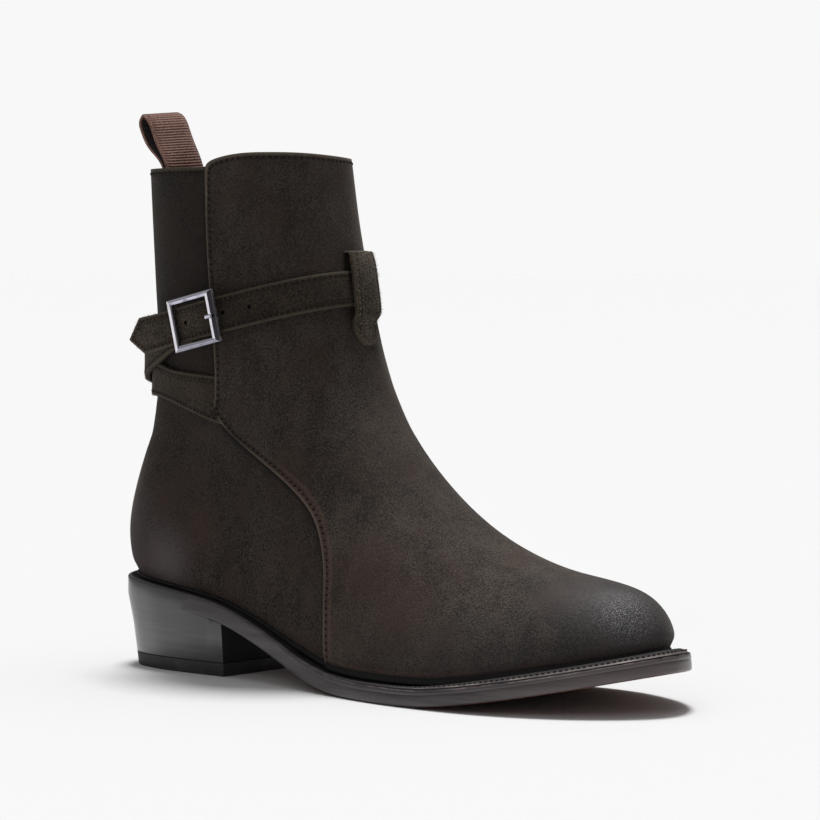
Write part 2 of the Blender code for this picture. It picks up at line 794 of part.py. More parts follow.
def as_mesh(name, curve, collection):
    """A curve made one closed mesh, with its caps welded."""
    drawn = bpy.data.objects.new(name + "_curve", curve)
    collection.objects.link(drawn)
    bpy.context.view_layer.update()
    evaluated = drawn.evaluated_get(bpy.context.evaluated_depsgraph_get())
    mesh = bpy.data.meshes.new_from_object(evaluated)
    bpy.data.objects.remove(drawn, do_unlink=True)
    work = bmesh.new()
    work.from_mesh(mesh)
    bmesh.ops.remove_doubles(work, verts=work.verts, dist=1e-6)
    bmesh.ops.recalc_face_normals(work, faces=work.faces)
    work.to_mesh(mesh)
    work.free()
    piece = bpy.data.objects.new(name, mesh)
    collection.objects.link(piece)
    return piece


def build_buckle(collection, cutters, material):
    place = buckle_axes()
    half, tall = BUCKLE_LONG / 2, BUCKLE_TALL / 2
    middle = FRAME_LIFT + FRAME_THICK / 2
    plate = bpy.data.curves.new("buckle_plate", "CURVE")
    plate.dimensions = "2D"
    plate.fill_mode = "BOTH"
    plate.extrude = FRAME_THICK / 2 - FRAME_BEVEL
    plate.bevel_depth = FRAME_BEVEL
    plate.bevel_resolution = 0
    plate.offset = -FRAME_BEVEL
    add_rectangle(plate, -half, half, -tall, tall, FRAME_CORNER)
    add_rectangle(plate, BAR_FRONT - half, half - BAR_BACK, BAR_SIDE - tall, tall - BAR_SIDE, WINDOW_CORNER)
    frame = as_mesh("buckle_frame", plate, collection)
    frame.data.materials.append(material)
    frame.matrix_world = place @ Matrix.Translation((0.0, 0.0, middle))

    wire = bpy.data.curves.new("buckle_wire", "CURVE")
    wire.dimensions = "3D"
    wire.bevel_depth = PIN_RADIUS
    wire.bevel_resolution = 1
    wire.use_fill_caps = True
    reach = tall - BAR_SIDE / 2
    corners = ((reach, middle), (reach, PIN_LIFT), (-reach, PIN_LIFT), (-reach, middle))
    add_spline(wire, [(0.0, y, z) for y, z in corners])
    pin = as_mesh("buckle_pin", wire, cutters)
    pin.matrix_world = place
    pin.hide_render = True
    pin.display_type = "WIRE"
    union = frame.modifiers.new("pin", "BOOLEAN")
    union.operation = "UNION"
    union.object = pin
    return frame, build_prong(collection, material, place)


def build_prong(collection, material, place):
    """A small bar, narrower at its tip, that rests on the frame's front bar."""
    mesh = bpy.data.meshes.new("buckle_prong")
    work = bmesh.new()
    bmesh.ops.create_cube(work, size=1.0)
    bmesh.ops.scale(work, vec=(PRONG_LONG, PRONG_WIDE, PRONG_THICK), verts=work.verts)
    for corner in work.verts:
        if corner.co.x < 0:
            corner.co.y *= PRONG_TIP
    work.to_mesh(mesh)
    work.free()
    mesh.materials.append(material)
    prong = bpy.data.objects.new("buckle_prong", mesh)
    collection.objects.link(prong)
    forward = PRONG_INSET + (PRONG_LONG - BUCKLE_LONG) / 2
    lift = FRAME_LIFT + FRAME_THICK + GAP + PRONG_THICK / 2
    prong.matrix_world = place @ Matrix.Translation((forward, 0.0, lift))
    return prong


# Pull loop: centre line of the webbing in stations and heights, front leg up, over and down
LOOP_WIDTH = 0.0238
LOOP_THICK = 0.0014
LOOP = table(
    "station height",
    (0.0211, 0.2140),
    (0.0210, 0.2268),
    (0.0190, 0.2340),
    (0.0148, 0.2430),
    (0.0106, 0.2508),
    (0.0074, 0.2530),
    (0.0052, 0.2506),
    (0.0070, 0.2448),
    (0.0112, 0.2380),
    (0.0165, 0.2318),
    (0.0190, 0.2268),
    (0.0192, 0.2140),
)
LOOP_STEPS = 36
LOOP_ACROSS = 4
LOOP_BOW = 0.0021         # the webbing's edges follow the round of the shaft's back
LOOP_FLAT_FROM = 0.0140   # it is flat from this far above the topline
LOOP_SHIFT = -0.0012      # its middle, towards the outer side
LOOP_TILT = 0.0009        # its top's inner edge stands this much higher than its middle


def build_pull_loop(collection, material):
    stations, heights, _ = dense_curve(LOOP["station"], LOOP["height"], LOOP_STEPS + 1)
    line = np.stack([stations, heights], axis=-1)
    pace = np.gradient(line, axis=0)
    pace = pace / np.linalg.norm(pace, axis=1, keepdims=True)
    side = np.stack([pace[:, 1], -pace[:, 0]], axis=-1) * LOOP_THICK / 2
    faces = []
    for flat in (line + side, line - side):
        free = ease(TOPLINE, TOPLINE + LOOP_FLAT_FROM, flat[:, 1])
        rows = []
        for share in np.linspace(-1.0, 1.0, LOOP_ACROSS + 1):
            x = flat[:, 0] - HEEL_CENTRE + LOOP_BOW * share**2 * (1 - free)
            y = np.full(len(flat), LOOP_SHIFT + share * LOOP_WIDTH / 2)
            rows.append(np.stack([x, y, flat[:, 1] + LOOP_TILT * share * free], axis=-1))
        faces.append(np.array(rows))
    return thick_sheet("pull_loop", faces[0], faces[1], material, collection)


def build_boot():
    clear_scene()
    boot = new_collection("strapped_ankle_boot")
    cutters = new_collection("cutters")
    suede = finish_material("quarter_suede", (0.021, 0.018, 0.014), 0.95)
    vamp_suede = finish_material("vamp_suede", (0.023, 0.020, 0.016), 0.93)
    strap_suede = finish_material("strap_suede", (0.022, 0.018, 0.012), 0.95)
    edge_finish = finish_material("sole_edge", (0.060, 0.052, 0.050), 0.45)
    heel_finish = finish_material("heel_stack", (0.035, 0.034, 0.036), 0.30)
    rubber = finish_material("top_lift_rubber", (0.018, 0.018, 0.018), 0.60)
    leather = finish_material("insole_leather", (0.180, 0.110, 0.070), 0.60)
    metal = finish_material("buckle_metal", (0.560, 0.550, 0.580), 0.28, 1.0)
    webbing = finish_material("loop_webbing", (0.135, 0.075, 0.055), 0.85)
    build_outsole(boot, edge_finish)
    build_welt(boot, edge_finish)
    build_heel(boot, heel_finish, rubber)
    build_insole(boot, leather)
    build_upper(boot, suede, vamp_suede)
    build_straps(boot, strap_suede)
    build_keeper(boot, strap_suede)
    build_buckle(boot, cutters, metal)
    build_pull_loop(boot, webbing)


build_boot()
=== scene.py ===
# %% [markdown]
# A strapped suede ankle boot.
# The frame holds the boot's solids at their real size: hollow upper, vamp panel, straps, buckle,
# welted sole and heel. This lesson dresses them. Each piece starts as a merged copy of its solid or
# as a primitive, is shaped with Blender's own operators, and gets a finish written as expressions.

# %% Load the frame
import math
from contextlib import contextmanager

import bmesh
import bpy
import numpy as np
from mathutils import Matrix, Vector
from mathutils.bvhtree import BVHTree
from mathutils.kdtree import KDTree


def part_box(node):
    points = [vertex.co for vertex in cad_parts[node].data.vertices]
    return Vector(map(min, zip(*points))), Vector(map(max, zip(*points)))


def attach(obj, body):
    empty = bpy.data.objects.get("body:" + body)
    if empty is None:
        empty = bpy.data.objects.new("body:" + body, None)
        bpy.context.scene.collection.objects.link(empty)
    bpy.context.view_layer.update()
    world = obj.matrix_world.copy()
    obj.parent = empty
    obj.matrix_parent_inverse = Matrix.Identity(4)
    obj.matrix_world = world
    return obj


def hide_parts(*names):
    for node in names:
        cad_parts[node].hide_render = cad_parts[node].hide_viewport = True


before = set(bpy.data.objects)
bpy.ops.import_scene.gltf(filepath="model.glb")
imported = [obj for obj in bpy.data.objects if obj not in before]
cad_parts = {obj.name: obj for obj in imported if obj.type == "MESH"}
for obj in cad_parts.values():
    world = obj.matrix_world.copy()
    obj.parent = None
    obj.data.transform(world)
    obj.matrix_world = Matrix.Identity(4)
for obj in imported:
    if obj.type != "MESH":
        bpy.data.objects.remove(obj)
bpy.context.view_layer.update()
MM = 0.001
BODY = "root"
print("solids:", ", ".join(sorted(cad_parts)))

# %% [markdown]
# The camera stands where the photograph was taken from: in front of the outer side of the boot,
# a little above the ankle and more than a metre away, with a long lens. It could be found by eye,
# but a long lens flattens the shape, so its place was solved from the boot's outline. A small turn
# then puts the single boot in the middle of the square picture.

# %% Camera
LENS = 138.9
CAMERA_PLACE = (1.0278, -1.0317, 0.1862)
CAMERA_PITCH = math.radians(90 - 3.656 + 0.92)
CAMERA_YAW = math.radians(40 + 1.23)

eye = bpy.data.cameras.new("photo_camera")
eye.lens = LENS
eye.sensor_width = 36
eye.clip_start = 0.05
camera = bpy.data.objects.new("photo_camera", eye)
bpy.context.scene.collection.objects.link(camera)
camera.location = CAMERA_PLACE
camera.rotation_euler = (CAMERA_PITCH, 0.0, CAMERA_YAW)
bpy.context.scene.camera = camera
print("camera at", tuple(camera.location))

# %% [markdown]
# A finish is a graph of nodes. It could be drawn node by node in the editor, or wired up call by call,
# but a long graph is easier to read as a sum. So the Field class wraps one socket of the graph, and
# Python's + - * on it add Math nodes.

# %% One value of a finish
class Field:
    """One value of a finish. Python's operators add Math nodes."""

    def __init__(self, finish, socket):
        self.finish = finish
        self.socket = socket

    def maths(self, operation, *values):
        return self.finish.node("ShaderNodeMath", {"operation": operation}, values)

    def __add__(self, other):
        return self.maths("ADD", self, other)

    def __mul__(self, other):
        return self.maths("MULTIPLY", self, other)

    def __sub__(self, other):
        return self.maths("SUBTRACT", self, other)

    def __rsub__(self, other):
        return self.maths("SUBTRACT", other, self)

    __radd__ = __add__

    def between(self, low, high):
        """0 at low and 1 at high, eased at both ends. Low may be the larger one."""
        values = {"Value": self, "From Min": low, "From Max": high}
        return self.finish.node("ShaderNodeMapRange", {"interpolation_type": "SMOOTHSTEP"}, values)


# %% [markdown]
# The Finish class holds a material and makes every other node through one method. Noise, distances
# and attributes all start from the object's own coordinates, so a finish stays on its piece wherever
# the boot stands.

# %% A whole finish
class Finish:
    """A material that is written as expressions on Fields."""

    def __init__(self, name):
        self.material = bpy.data.materials.new(name)
        self.material.use_nodes = True
        self.tree = self.material.node_tree
        self.shader = self.tree.nodes["Principled BSDF"]
        self.place = self.node("ShaderNodeTexCoord", out="Object")

    def node(self, kind, settings=None, values=(), out=0):
        made = self.tree.nodes.new(kind)
        for key, value in (settings or {}).items():
            setattr(made, key, value)
        pairs = values.items() if isinstance(values, dict) else enumerate(values)
        for key, value in pairs:
            self.feed(made.inputs[key], value)
        return Field(self, made.outputs[out])

    def feed(self, socket, value):
        if isinstance(value, Field):
            self.tree.links.new(value.socket, socket)
        else:
            socket.default_value = value

    def axis(self, name):
        return self.node("ShaderNodeSeparateXYZ", None, [self.place], out=name)

    def facing(self, name):
        """How far a surface faces along an axis, from -1 to 1."""
        normal = self.node("ShaderNodeNewGeometry", out="Normal")
        return self.node("ShaderNodeSeparateXYZ", None, [normal], out=name)

    def vector(self, operation, other, out="Vector"):
        return self.node("ShaderNodeVectorMath", {"operation": operation}, [self.place, other], out)

    def noise(self, size, detail, roughness, stretch=None):
        """Cloudy noise whose blots are about size metres across, pulled long by a stretch."""
        at = self.vector("MULTIPLY", stretch) if stretch else self.place
        values = {"Vector": at, "Scale": 1 / size, "Detail": detail, "Roughness": roughness}
        return self.node("ShaderNodeTexNoise", None, values)

    def ball(self, centre, radius):
        """1 at a centre, easing to 0 at a radius from it."""
        return self.vector("DISTANCE", centre, "Value").between(radius, 0.0)

    def attribute(self, name):
        return self.node("ShaderNodeAttribute", {"attribute_name": name}, out="Fac")

    def mix(self, share, first, second):
        """A colour between two, by a share."""
        values = {0: share, 6: first, 7: second}
        return self.node("ShaderNodeMix", {"data_type": "RGBA"}, values, out=2)

    def bump(self, height, strength, distance):
        values = {"Strength": strength, "Distance": distance, "Height": height}
        self.feed(self.shader.inputs["Normal"], self.node("ShaderNodeBump", None, values))

    def set(self, **sockets):
        """Feed the shader's sockets, with spaces written as underscores."""
        for name, value in sockets.items():
            self.feed(self.shader.inputs[name.replace("_", " ")], value)
        return self.material


def shade(red, green, blue):
    """A colour from sRGB bytes, in the linear values that sockets hold."""
    linear = []
    for byte in (red, green, blue):
        value = byte / 255
        linear.append(value / 12.92 if value <= 0.04045 else ((value + 0.055) / 1.055) ** 2.4)
    return (*linear, 1.0)


# %% [markdown]
# Suede is the flesh side of the hide, brushed up into a short nap. It has no gloss of its own: its
# colour shifts in soft blots where the nap lies another way, fine fibres speckle it, and it glows a
# little at grazing angles, which Sheen gives. The toe and the heel counter are burnished darker. The
# toe's burnish is grey, partly a painted sheen, and its polish shows as a fine sparkle of painted glints;
# the heel counter has two pale spots of painted sheen. A raw cut edge shows lighter, worn fibres, and its
# pale line is partly a painted highlight. Painted shade darkens the suede towards the top of the boot, in
# seams and beside the vamp's edge.

# %% Suede
TOE_SPARKLE = (0.2463, -0.0068, 0.0424)
TOE_POLISH = (0.2480, 0.0000, 0.0400)
# Centres of the painted sheen spots on the heel counter.
HEEL_SHEEN_SPOT = (0.0040, -0.0310, 0.0500)
HEEL_BACK = (-0.0240, -0.0240, 0.0620)
RED_BLOTS = (
    ((0.0250, -0.0310, 0.0670), 0.024),
    ((0.0030, -0.0310, 0.0770), 0.020),
    ((0.1330, -0.0380, 0.0540), 0.030),
    ((0.1540, -0.0420, 0.0380), 0.032),
)
STRAP_TIP = (-0.0011, -0.0415, 0.1503)
STRAP_WINDOW = (0.0298, -0.0436, 0.1579)
KEEPER_TOP = (0.0910, 0.0079, 0.1879)
KEEPER_TAB = (0.0976, 0.0037, 0.1536)
# The pale colour of raw edges, also used for painted highlights.
RAW_EDGE_AND_HIGHLIGHT = shade(98, 88, 77)
# A colour of painted shade, for seams, beside the vamp's edge and up the quarter.
PAINTED_SHADE = shade(17, 14, 12)
# The colour of the painted shadow line beside the vamp's edge.
PAINTED_LAP_SHADOW = shade(10, 8, 7)
SCUFFED_MARGIN = shade(80, 63, 57)
TOE_BURNISH_AND_SHEEN = shade(50, 49, 51)
PAINTED_HEEL_SHEEN = shade(90, 82, 84)
PAINTED_BACK_SHEEN = shade(70, 65, 69)
# Dark specks and painted glints of the toe's sparkle.
SPARKLE_DARK = shade(24, 24, 26)
PAINTED_GLINT = shade(150, 150, 154)


def suede(name, dark, light, warm, fuzz=1.0, raw=0.6, painted_highlights=(),
          burnished=False, lapped=False, edged=False):
    """Brushed suede from two shades of nap and a warmer blot colour."""
    f = Finish(name)
    blots = f.noise(0.040, 3.0, 0.55)
    brushed = f.noise(0.009, 3.0, 0.60, stretch=(1.0, 1.0, 0.6))
    nap = f.noise(0.0009, 1.0, 0.50)
    speckle = f.noise(0.0005, 1.0, 0.60)
    lie = (blots - 0.5) * 1.4 + (brushed - 0.5) * 1.5
    lie = lie + (nap - 0.5) * (2.1 * fuzz) + (speckle - 0.5) * (3.3 * fuzz)
    colour = f.mix((lie + 0.5).between(-0.3, 1.3), dark, light)
    warmth = f.noise(0.026, 3.0, 0.6).between(0.46, 0.68) * 0.5
    if burnished:
        for centre, radius in RED_BLOTS:
            warmth = warmth.maths("MAXIMUM", warmth, f.ball(centre, radius) * 0.7)
    colour = f.mix(warmth, colour, warm)
    height = f.axis("Z")
    # Painted shade: the suede is darkened in two steps towards the top of the boot.
    colour = f.mix(height.between(0.05, 0.09) * 0.24 + height.between(0.12, 0.16) * 0.16, colour, dark)
    # Painted highlights: pale spots where the strap's tip, the strap in the buckle's window and the keeper
    # catch the light.
    for centre, radius, gain in painted_highlights:
        share = f.ball(centre, radius) * (lie * 0.35 + 0.5).between(0.0, 1.0) * gain
        colour = f.mix(share, colour, RAW_EDGE_AND_HIGHLIGHT)
    rim = f.attribute("rim")
    if edged:
        margin = rim.between(5.6, 4.4) * height.between(0.110, 0.085) * (lie * 0.5 + 0.8)
        colour = f.mix(margin * 0.7, colour, SCUFFED_MARGIN)
    # Painted shade: the pressed seam along the stitch row is darkened.
    seam = rim.between(1.6, 2.2) * rim.between(3.6, 3.0)
    colour = f.mix(seam * 0.30, colour, PAINTED_SHADE)
    # Raw edges are paler: lighter cut fibres, and partly a painted highlight, widened along the collar's
    # top.
    frayed = rim + (nap - 0.5) * 1.6 + (speckle - 0.5) * 1.6 - height.between(0.205, 0.215) * 0.5
    colour = f.mix(frayed.between(1.2, 0.3) * raw, colour, RAW_EDGE_AND_HIGHLIGHT)
    roughness = 0.95 - nap * 0.08
    relief = nap * 0.9 + speckle * 0.5 + brushed * 0.4 - seam * 0.6
    if lapped:
        # Painted shadow on the quarter beside the vamp's edge: a wide faint band, then a dark line at the
        # edge. The collar's top is left out.
        lap = f.attribute("lap") + height.between(0.214, 0.221) * 20.0
        colour = f.mix(lap.between(8.0, 0.0) * 0.35, colour, PAINTED_SHADE)
        colour = f.mix(lap.between(4.0, 1.8) * 0.85, colour, PAINTED_LAP_SHADOW)
        # Painted shade: the quarter darkens further up the shaft.
        colour = f.mix(height.between(0.09, 0.15) * 0.45, colour, PAINTED_SHADE)
    if burnished:
        ahead = f.axis("X")
        toe = f.ball(TOE_POLISH, 0.070) * ahead.between(0.165, 0.225)
        low = height.between(0.050, 0.020) * ahead.between(0.10, 0.22)
        polish = toe.maths("MAXIMUM", toe, low * 0.6)
        # The toe's burnished grey, partly a painted sheen where the toe faces the light.
        colour = f.mix(polish * 0.65, colour, TOE_BURNISH_AND_SHEEN)
        # Painted sheen: two pale grey spots on the heel counter.
        colour = f.mix(f.ball(HEEL_SHEEN_SPOT, 0.024) * 0.60, colour, PAINTED_HEEL_SHEEN)
        colour = f.mix(f.ball(HEEL_BACK, 0.032) * 0.55, colour, PAINTED_BACK_SHEEN)
        # The polish sparkle: light specks are painted glints among dark specks.
        sparkle_noise = f.noise(0.00045, 1.0, 0.7)
        near = f.ball(TOE_SPARKLE, 0.019)
        colour = f.mix(near * sparkle_noise.between(0.50, 0.38) * 0.8, colour, SPARKLE_DARK)
        colour = f.mix(near * sparkle_noise.between(0.52, 0.66) * 0.75, colour, PAINTED_GLINT)
        roughness = roughness - polish * 0.30
        relief = relief + near * sparkle_noise * 0.5
    f.bump(relief, 0.6, 0.4 * fuzz * MM)
    return f.set(Base_Color=colour, Roughness=roughness, Specular_IOR_Level=0.20,
                 Sheen_Weight=0.10, Sheen_Roughness=0.35, Sheen_Tint=(0.70, 0.64, 0.56, 1.0))


# %% [markdown]
# Four suedes come from that one function. The quarter and the vamp are from the same hide, with the
# quarter a little darker. The straps and the keeper are fuzzier, and pale painted highlights lie on them
# where they catch the light: at the strap's tip, in the buckle's window and on the keeper.

# %% The four suedes
NAP_DARK = shade(29, 24, 21)
NAP_LIGHT = shade(72, 64, 57)
NAP_WARM = shade(58, 44, 39)
quarter_suede = suede("quarter_suede", shade(22, 17, 15), shade(61, 53, 47), NAP_WARM, fuzz=1.4,
                      burnished=True, lapped=True)
vamp_suede = suede("vamp_suede", NAP_DARK, NAP_LIGHT, NAP_WARM, burnished=True, edged=True)
strap_suede = suede("strap_nap", shade(20, 16, 12), shade(68, 58, 48), shade(48, 38, 31), fuzz=1.3,
                    raw=0.35, painted_highlights=[(STRAP_TIP, 0.030, 0.55), (STRAP_WINDOW, 0.016, 0.45)])
keeper_suede = suede("keeper_nap", shade(14, 11, 8), shade(88, 77, 63), shade(60, 48, 39), fuzz=1.9,
                     raw=0.2, painted_highlights=[(KEEPER_TOP, 0.017, 0.90), (KEEPER_TAB, 0.012, 0.90)])
print("suede finishes:", quarter_suede.name, vamp_suede.name, strap_suede.name, keeper_suede.name)

# %% [markdown]
# The bottom of the boot is leather with a black dressing on its edges. The edge of the outsole is
# scraped and waxed, and its lighter streaks along the edge are partly painted shine. Its lip is worn and
# carries a painted highlight, and under it the bare reddish leather of the sole shows. The heel is a
# stack of leather lifts, dyed and polished like a black mirror; its back is darkened as a painted
# reflection, and its breast and top are painted near-black as shade.

# %% Finishes of the sole and heel
def dressed_edge(name, base, worn, shine):
    """Dyed leather with faint streaks along it, as a foundation for the bottom's finishes."""
    f = Finish(name)
    streaks = f.noise(0.012, 4.0, 0.65, stretch=(0.22, 0.22, 4.0))
    fine = f.noise(0.0016, 3.0, 0.6)
    # On the polished edges the lighter streaks are partly painted shine.
    colour = f.mix(streaks.between(0.32, 0.72), base, worn)
    f.bump(streaks * 0.5 + fine * 0.5, 0.20, 0.25 * MM)
    return f, colour, shine + fine * 0.14


def sole_edge(name):
    """The band round the sole: black on top, worn and given a painted highlight at its lip, bare leather
    underneath.
    """
    f, colour, roughness = dressed_edge(name, shade(50, 45, 47), shade(78, 71, 72), 0.30)
    level = f.attribute("band")
    front = f.axis("X").between(0.06, 0.20)
    scuffs_and_highlight = f.noise(0.003, 4.0, 0.7, stretch=(0.35, 0.35, 2.0)).between(0.42, 0.66)
    colour = f.mix(f.axis("X").between(0.19, 0.25) * 0.5, colour, shade(96, 84, 82))
    lip = level.between(0.08, 0.16) * level.between(0.34, 0.22)
    # The lip's pale scuffs are wear and partly a painted highlight.
    colour = f.mix(lip * scuffs_and_highlight * front * 0.85, colour, shade(138, 126, 122))
    groove = level.between(0.48, 0.52) * level.between(0.56, 0.52) * front
    colour = f.mix(groove * 0.8, colour, shade(24, 21, 22))
    colour = f.mix(level.between(0.15, 0.06), colour, shade(22, 20, 20))
    hide = f.mix(f.noise(0.014, 5.0, 0.6), shade(96, 50, 40), shade(128, 78, 60))
    bare = level.between(0.93, 0.96)
    colour = f.mix(bare * front, colour, hide)
    top = level.between(0.20, 0.12)
    return f.set(Base_Color=colour, Roughness=roughness + bare * 0.25 + top * 0.45,
                 Coat_Weight=0.3 - top * 0.3, Coat_Roughness=0.25, Specular_IOR_Level=0.35)


def heel_polish(name):
    """Black mirror polish on the heel's sides, darker towards the back as a painted reflection; the breast
    and top are dull and painted near-black as shade.
    """
    f, colour, roughness = dressed_edge(name, shade(48, 45, 47), shade(66, 63, 65), 0.27)
    # Painted shade: faces that look forward or up are made near-black, and dull.
    breast = f.facing("X").between(0.55, 0.85)
    breast = breast.maths("MAXIMUM", breast, f.facing("Z").between(0.12, 0.35))
    # Painted reflection: the heel darkens towards its back, where its polish mirrors dark surroundings.
    colour = f.mix(f.axis("X").between(-0.008, -0.034) * 0.7, colour, shade(18, 18, 19))
    colour = f.mix(breast, colour, shade(10, 10, 11))
    return f.set(Base_Color=colour, Roughness=roughness + breast * 0.4, Coat_Weight=0.5 - breast * 0.5,
                 Coat_Roughness=0.22)


def dull_leather(name, base, worn):
    """Dyed leather that hardly shines, and near-black painted shade for metal and holes that lie in
    shadow.
    """
    f, colour, roughness = dressed_edge(name, base, worn, 0.5)
    return f.set(Base_Color=colour, Roughness=roughness, Specular_IOR_Level=0.25)


# %% [markdown]
# Rubber, lining, metal, tape and thread are smaller, so each gets a plain finish: a noise of the right
# size for its colour, and the same noise or a finer one as a bump. The nickel also gets painted
# reflections, bright on some slopes and dark on others, by where a face looks.

# %% Finishes of the small parts
NICKEL_PAINTED_REFLECTIONS = (
    # axis, facing where a painted reflection starts and where it is full, its share, its tone
    ("X", -0.05, -0.25, 0.7, (240, 236, 242)),
    ("X", 0.12, 0.30, 1.0, (62, 60, 66)),
    ("X", 0.50, 0.75, 0.8, (176, 173, 182)),
    ("Z", 0.10, 0.40, 0.8, (236, 234, 244)),
    ("Z", -0.30, -0.70, 0.7, (70, 67, 76)),
)


def plain_rubber(name):
    f = Finish(name)
    fine = f.noise(0.0012, 3.0, 0.65)
    worn = f.noise(0.012, 3.0, 0.6).between(0.55, 0.75)
    colour = f.mix(worn, shade(36, 36, 36), shade(52, 51, 50))
    f.bump(fine, 0.3, 0.2 * MM)
    return f.set(Base_Color=colour, Roughness=0.55 + fine * 0.2)


def smooth_hide(name, base, other):
    """Plain lining leather with a soft grain."""
    f = Finish(name)
    cells = f.node("ShaderNodeTexVoronoi", None, {"Vector": f.place, "Scale": 1 / 0.0011})
    clouds = f.noise(0.020, 4.0, 0.6)
    f.bump(cells * 0.6 + clouds * 0.4, 0.25, 0.2 * MM)
    return f.set(Base_Color=f.mix(clouds, base, other), Roughness=0.55 + clouds * 0.2)


def nickel_painted_reflections(name):
    """Nickel with painted reflections: bright on some slopes and dark on those that face forward."""
    f = Finish(name)
    haze = f.noise(0.006, 3.0, 0.5)
    scratches = f.noise(0.0009, 3.0, 0.7, stretch=(0.15, 1.0, 1.0))
    dull = haze.between(0.45, 0.75)
    colour = f.mix(dull, shade(206, 204, 220), shade(150, 147, 164))
    # Painted reflections: each slope is tinted bright or dark by the way it faces.
    for axis, low, high, gain, tone in NICKEL_PAINTED_REFLECTIONS:
        colour = f.mix(f.facing(axis).between(low, high) * gain, colour, shade(*tone))
    f.bump(scratches, 0.10, 0.06 * MM)
    return f.set(Base_Color=colour, Metallic=1.0, Roughness=0.22 + dull * 0.20 + scratches * 0.08)


def ribbed_webbing(name, dark, light):
    """Woven tape: ribs are modelled, and each shows its twisted yarns."""
    f = Finish(name)
    yarn = f.noise(0.0007, 2.0, 0.6, stretch=(1.0, 1.0, 0.8))
    colour = f.mix(yarn.between(0.30, 0.70), dark, light)
    f.bump(yarn, 0.6, 0.15 * MM)
    return f.set(Base_Color=colour, Roughness=0.85, Sheen_Weight=0.15, Sheen_Roughness=0.5)


def waxed_thread(name, dark, light):
    f = Finish(name)
    twist = f.noise(0.0006, 2.0, 0.6)
    f.bump(twist, 0.4, 0.08 * MM)
    colour = f.mix(twist.between(0.35, 0.65), dark, light)
    return f.set(Base_Color=colour, Roughness=0.9, Specular_IOR_Level=0.08)


# %% [markdown]
# The finishes are made here once, so that pieces can share them. Each has a dark and a light shade,
# and where a piece lies in shadow, as the bar under the strap does, both are nearly black: painted shade.

# %% All finishes
edge_finish = sole_edge("sole_edge_dressing")
heel_finish = heel_polish("heel_polish")
tread_finish = dull_leather("tread_leather", shade(88, 52, 42), shade(118, 76, 60))
welt_finish = dull_leather("welt_leather", shade(22, 20, 20), shade(36, 33, 32))
rand_finish = dull_leather("rand_leather", shade(9, 8, 8), shade(20, 18, 17))
lift_finish = plain_rubber("lift_rubber")
lining_finish = smooth_hide("lining_hide", shade(74, 60, 50), shade(88, 72, 60))
sock_finish = smooth_hide("sock_hide", shade(88, 66, 50), shade(104, 80, 62))
metal_finish = nickel_painted_reflections("nickel_painted_reflections")
# Painted shade: the nickel bar under the strap is given a near-black finish.
bar_finish = dull_leather("bar_painted_shade", shade(24, 23, 25), shade(38, 37, 40))
webbing_finish = ribbed_webbing("ribbed_webbing", shade(86, 58, 49), shade(138, 98, 84))
# A painted-shade copy of the webbing, for the faces inside the fold.
webbing_inside = ribbed_webbing("webbing_inside", shade(20, 14, 12), shade(44, 31, 27))
vamp_thread = waxed_thread("vamp_thread", shade(17, 13, 12), shade(38, 30, 27))
strap_thread = waxed_thread("strap_thread", shade(14, 11, 9), shade(36, 28, 23))
welt_thread = waxed_thread("welt_thread", shade(34, 31, 30), shade(60, 55, 52))
keeper_thread = waxed_thread("keeper_thread", shade(34, 28, 22), shade(112, 100, 84))
fibre_finish = waxed_thread("edge_fibres", shade(62, 54, 42), shade(108, 97, 79))
# Painted shade: the cut walls of the strap's holes are near-black.
hole_finish = dull_leather("hole_shadow", shade(6, 5, 5), shade(12, 10, 9))
print("finishes:", len(bpy.data.materials))

# %% [markdown]
# A CAD solid is faceted. To get its smooth surface back, a copy is merged, its triangles are paired
# into quads, its sharp edges are rounded with a Bevel, and Subdivision Surface fills in the curve.
# Building the surface again from sections would do too, but it would drift from the solid.

# %% Copies of the solids
SHARP = math.radians(50)
MERGE = 1e-5
PAIR_FACES = math.radians(40)
PAIR_SHAPES = math.radians(70)


def pick(*pieces):
    """Make these pieces the only selected ones, with the first one active."""
    bpy.ops.object.select_all(action="DESELECT")
    for piece in pieces:
        piece.select_set(True)
    bpy.context.view_layer.objects.active = pieces[0]


@contextmanager
def editing(select="SELECT"):
    """Edit Mode on the active piece, with all of it selected unless select is None."""
    bpy.ops.object.mode_set(mode="EDIT")
    if select:
        bpy.ops.mesh.select_all(action=select)
    yield
    bpy.ops.object.mode_set(mode="OBJECT")


def fresh(add, **settings):
    """A new primitive from one of Blender's operators, as the only selected piece."""
    bpy.ops.object.select_all(action="DESELECT")
    add(**settings)
    return bpy.context.object


def copy_of(node, name):
    """A merged copy of a solid, in quads where its triangles pair up."""
    piece = bpy.data.objects.new(name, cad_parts[node].data.copy())
    bpy.context.scene.collection.objects.link(piece)
    piece.data.materials.clear()
    pick(piece)
    bpy.ops.mesh.customdata_custom_splitnormals_clear()
    with editing():
        bpy.ops.mesh.remove_doubles(threshold=MERGE)
        bpy.ops.mesh.tris_convert_to_quads(face_threshold=PAIR_FACES, shape_threshold=PAIR_SHAPES)
    return piece


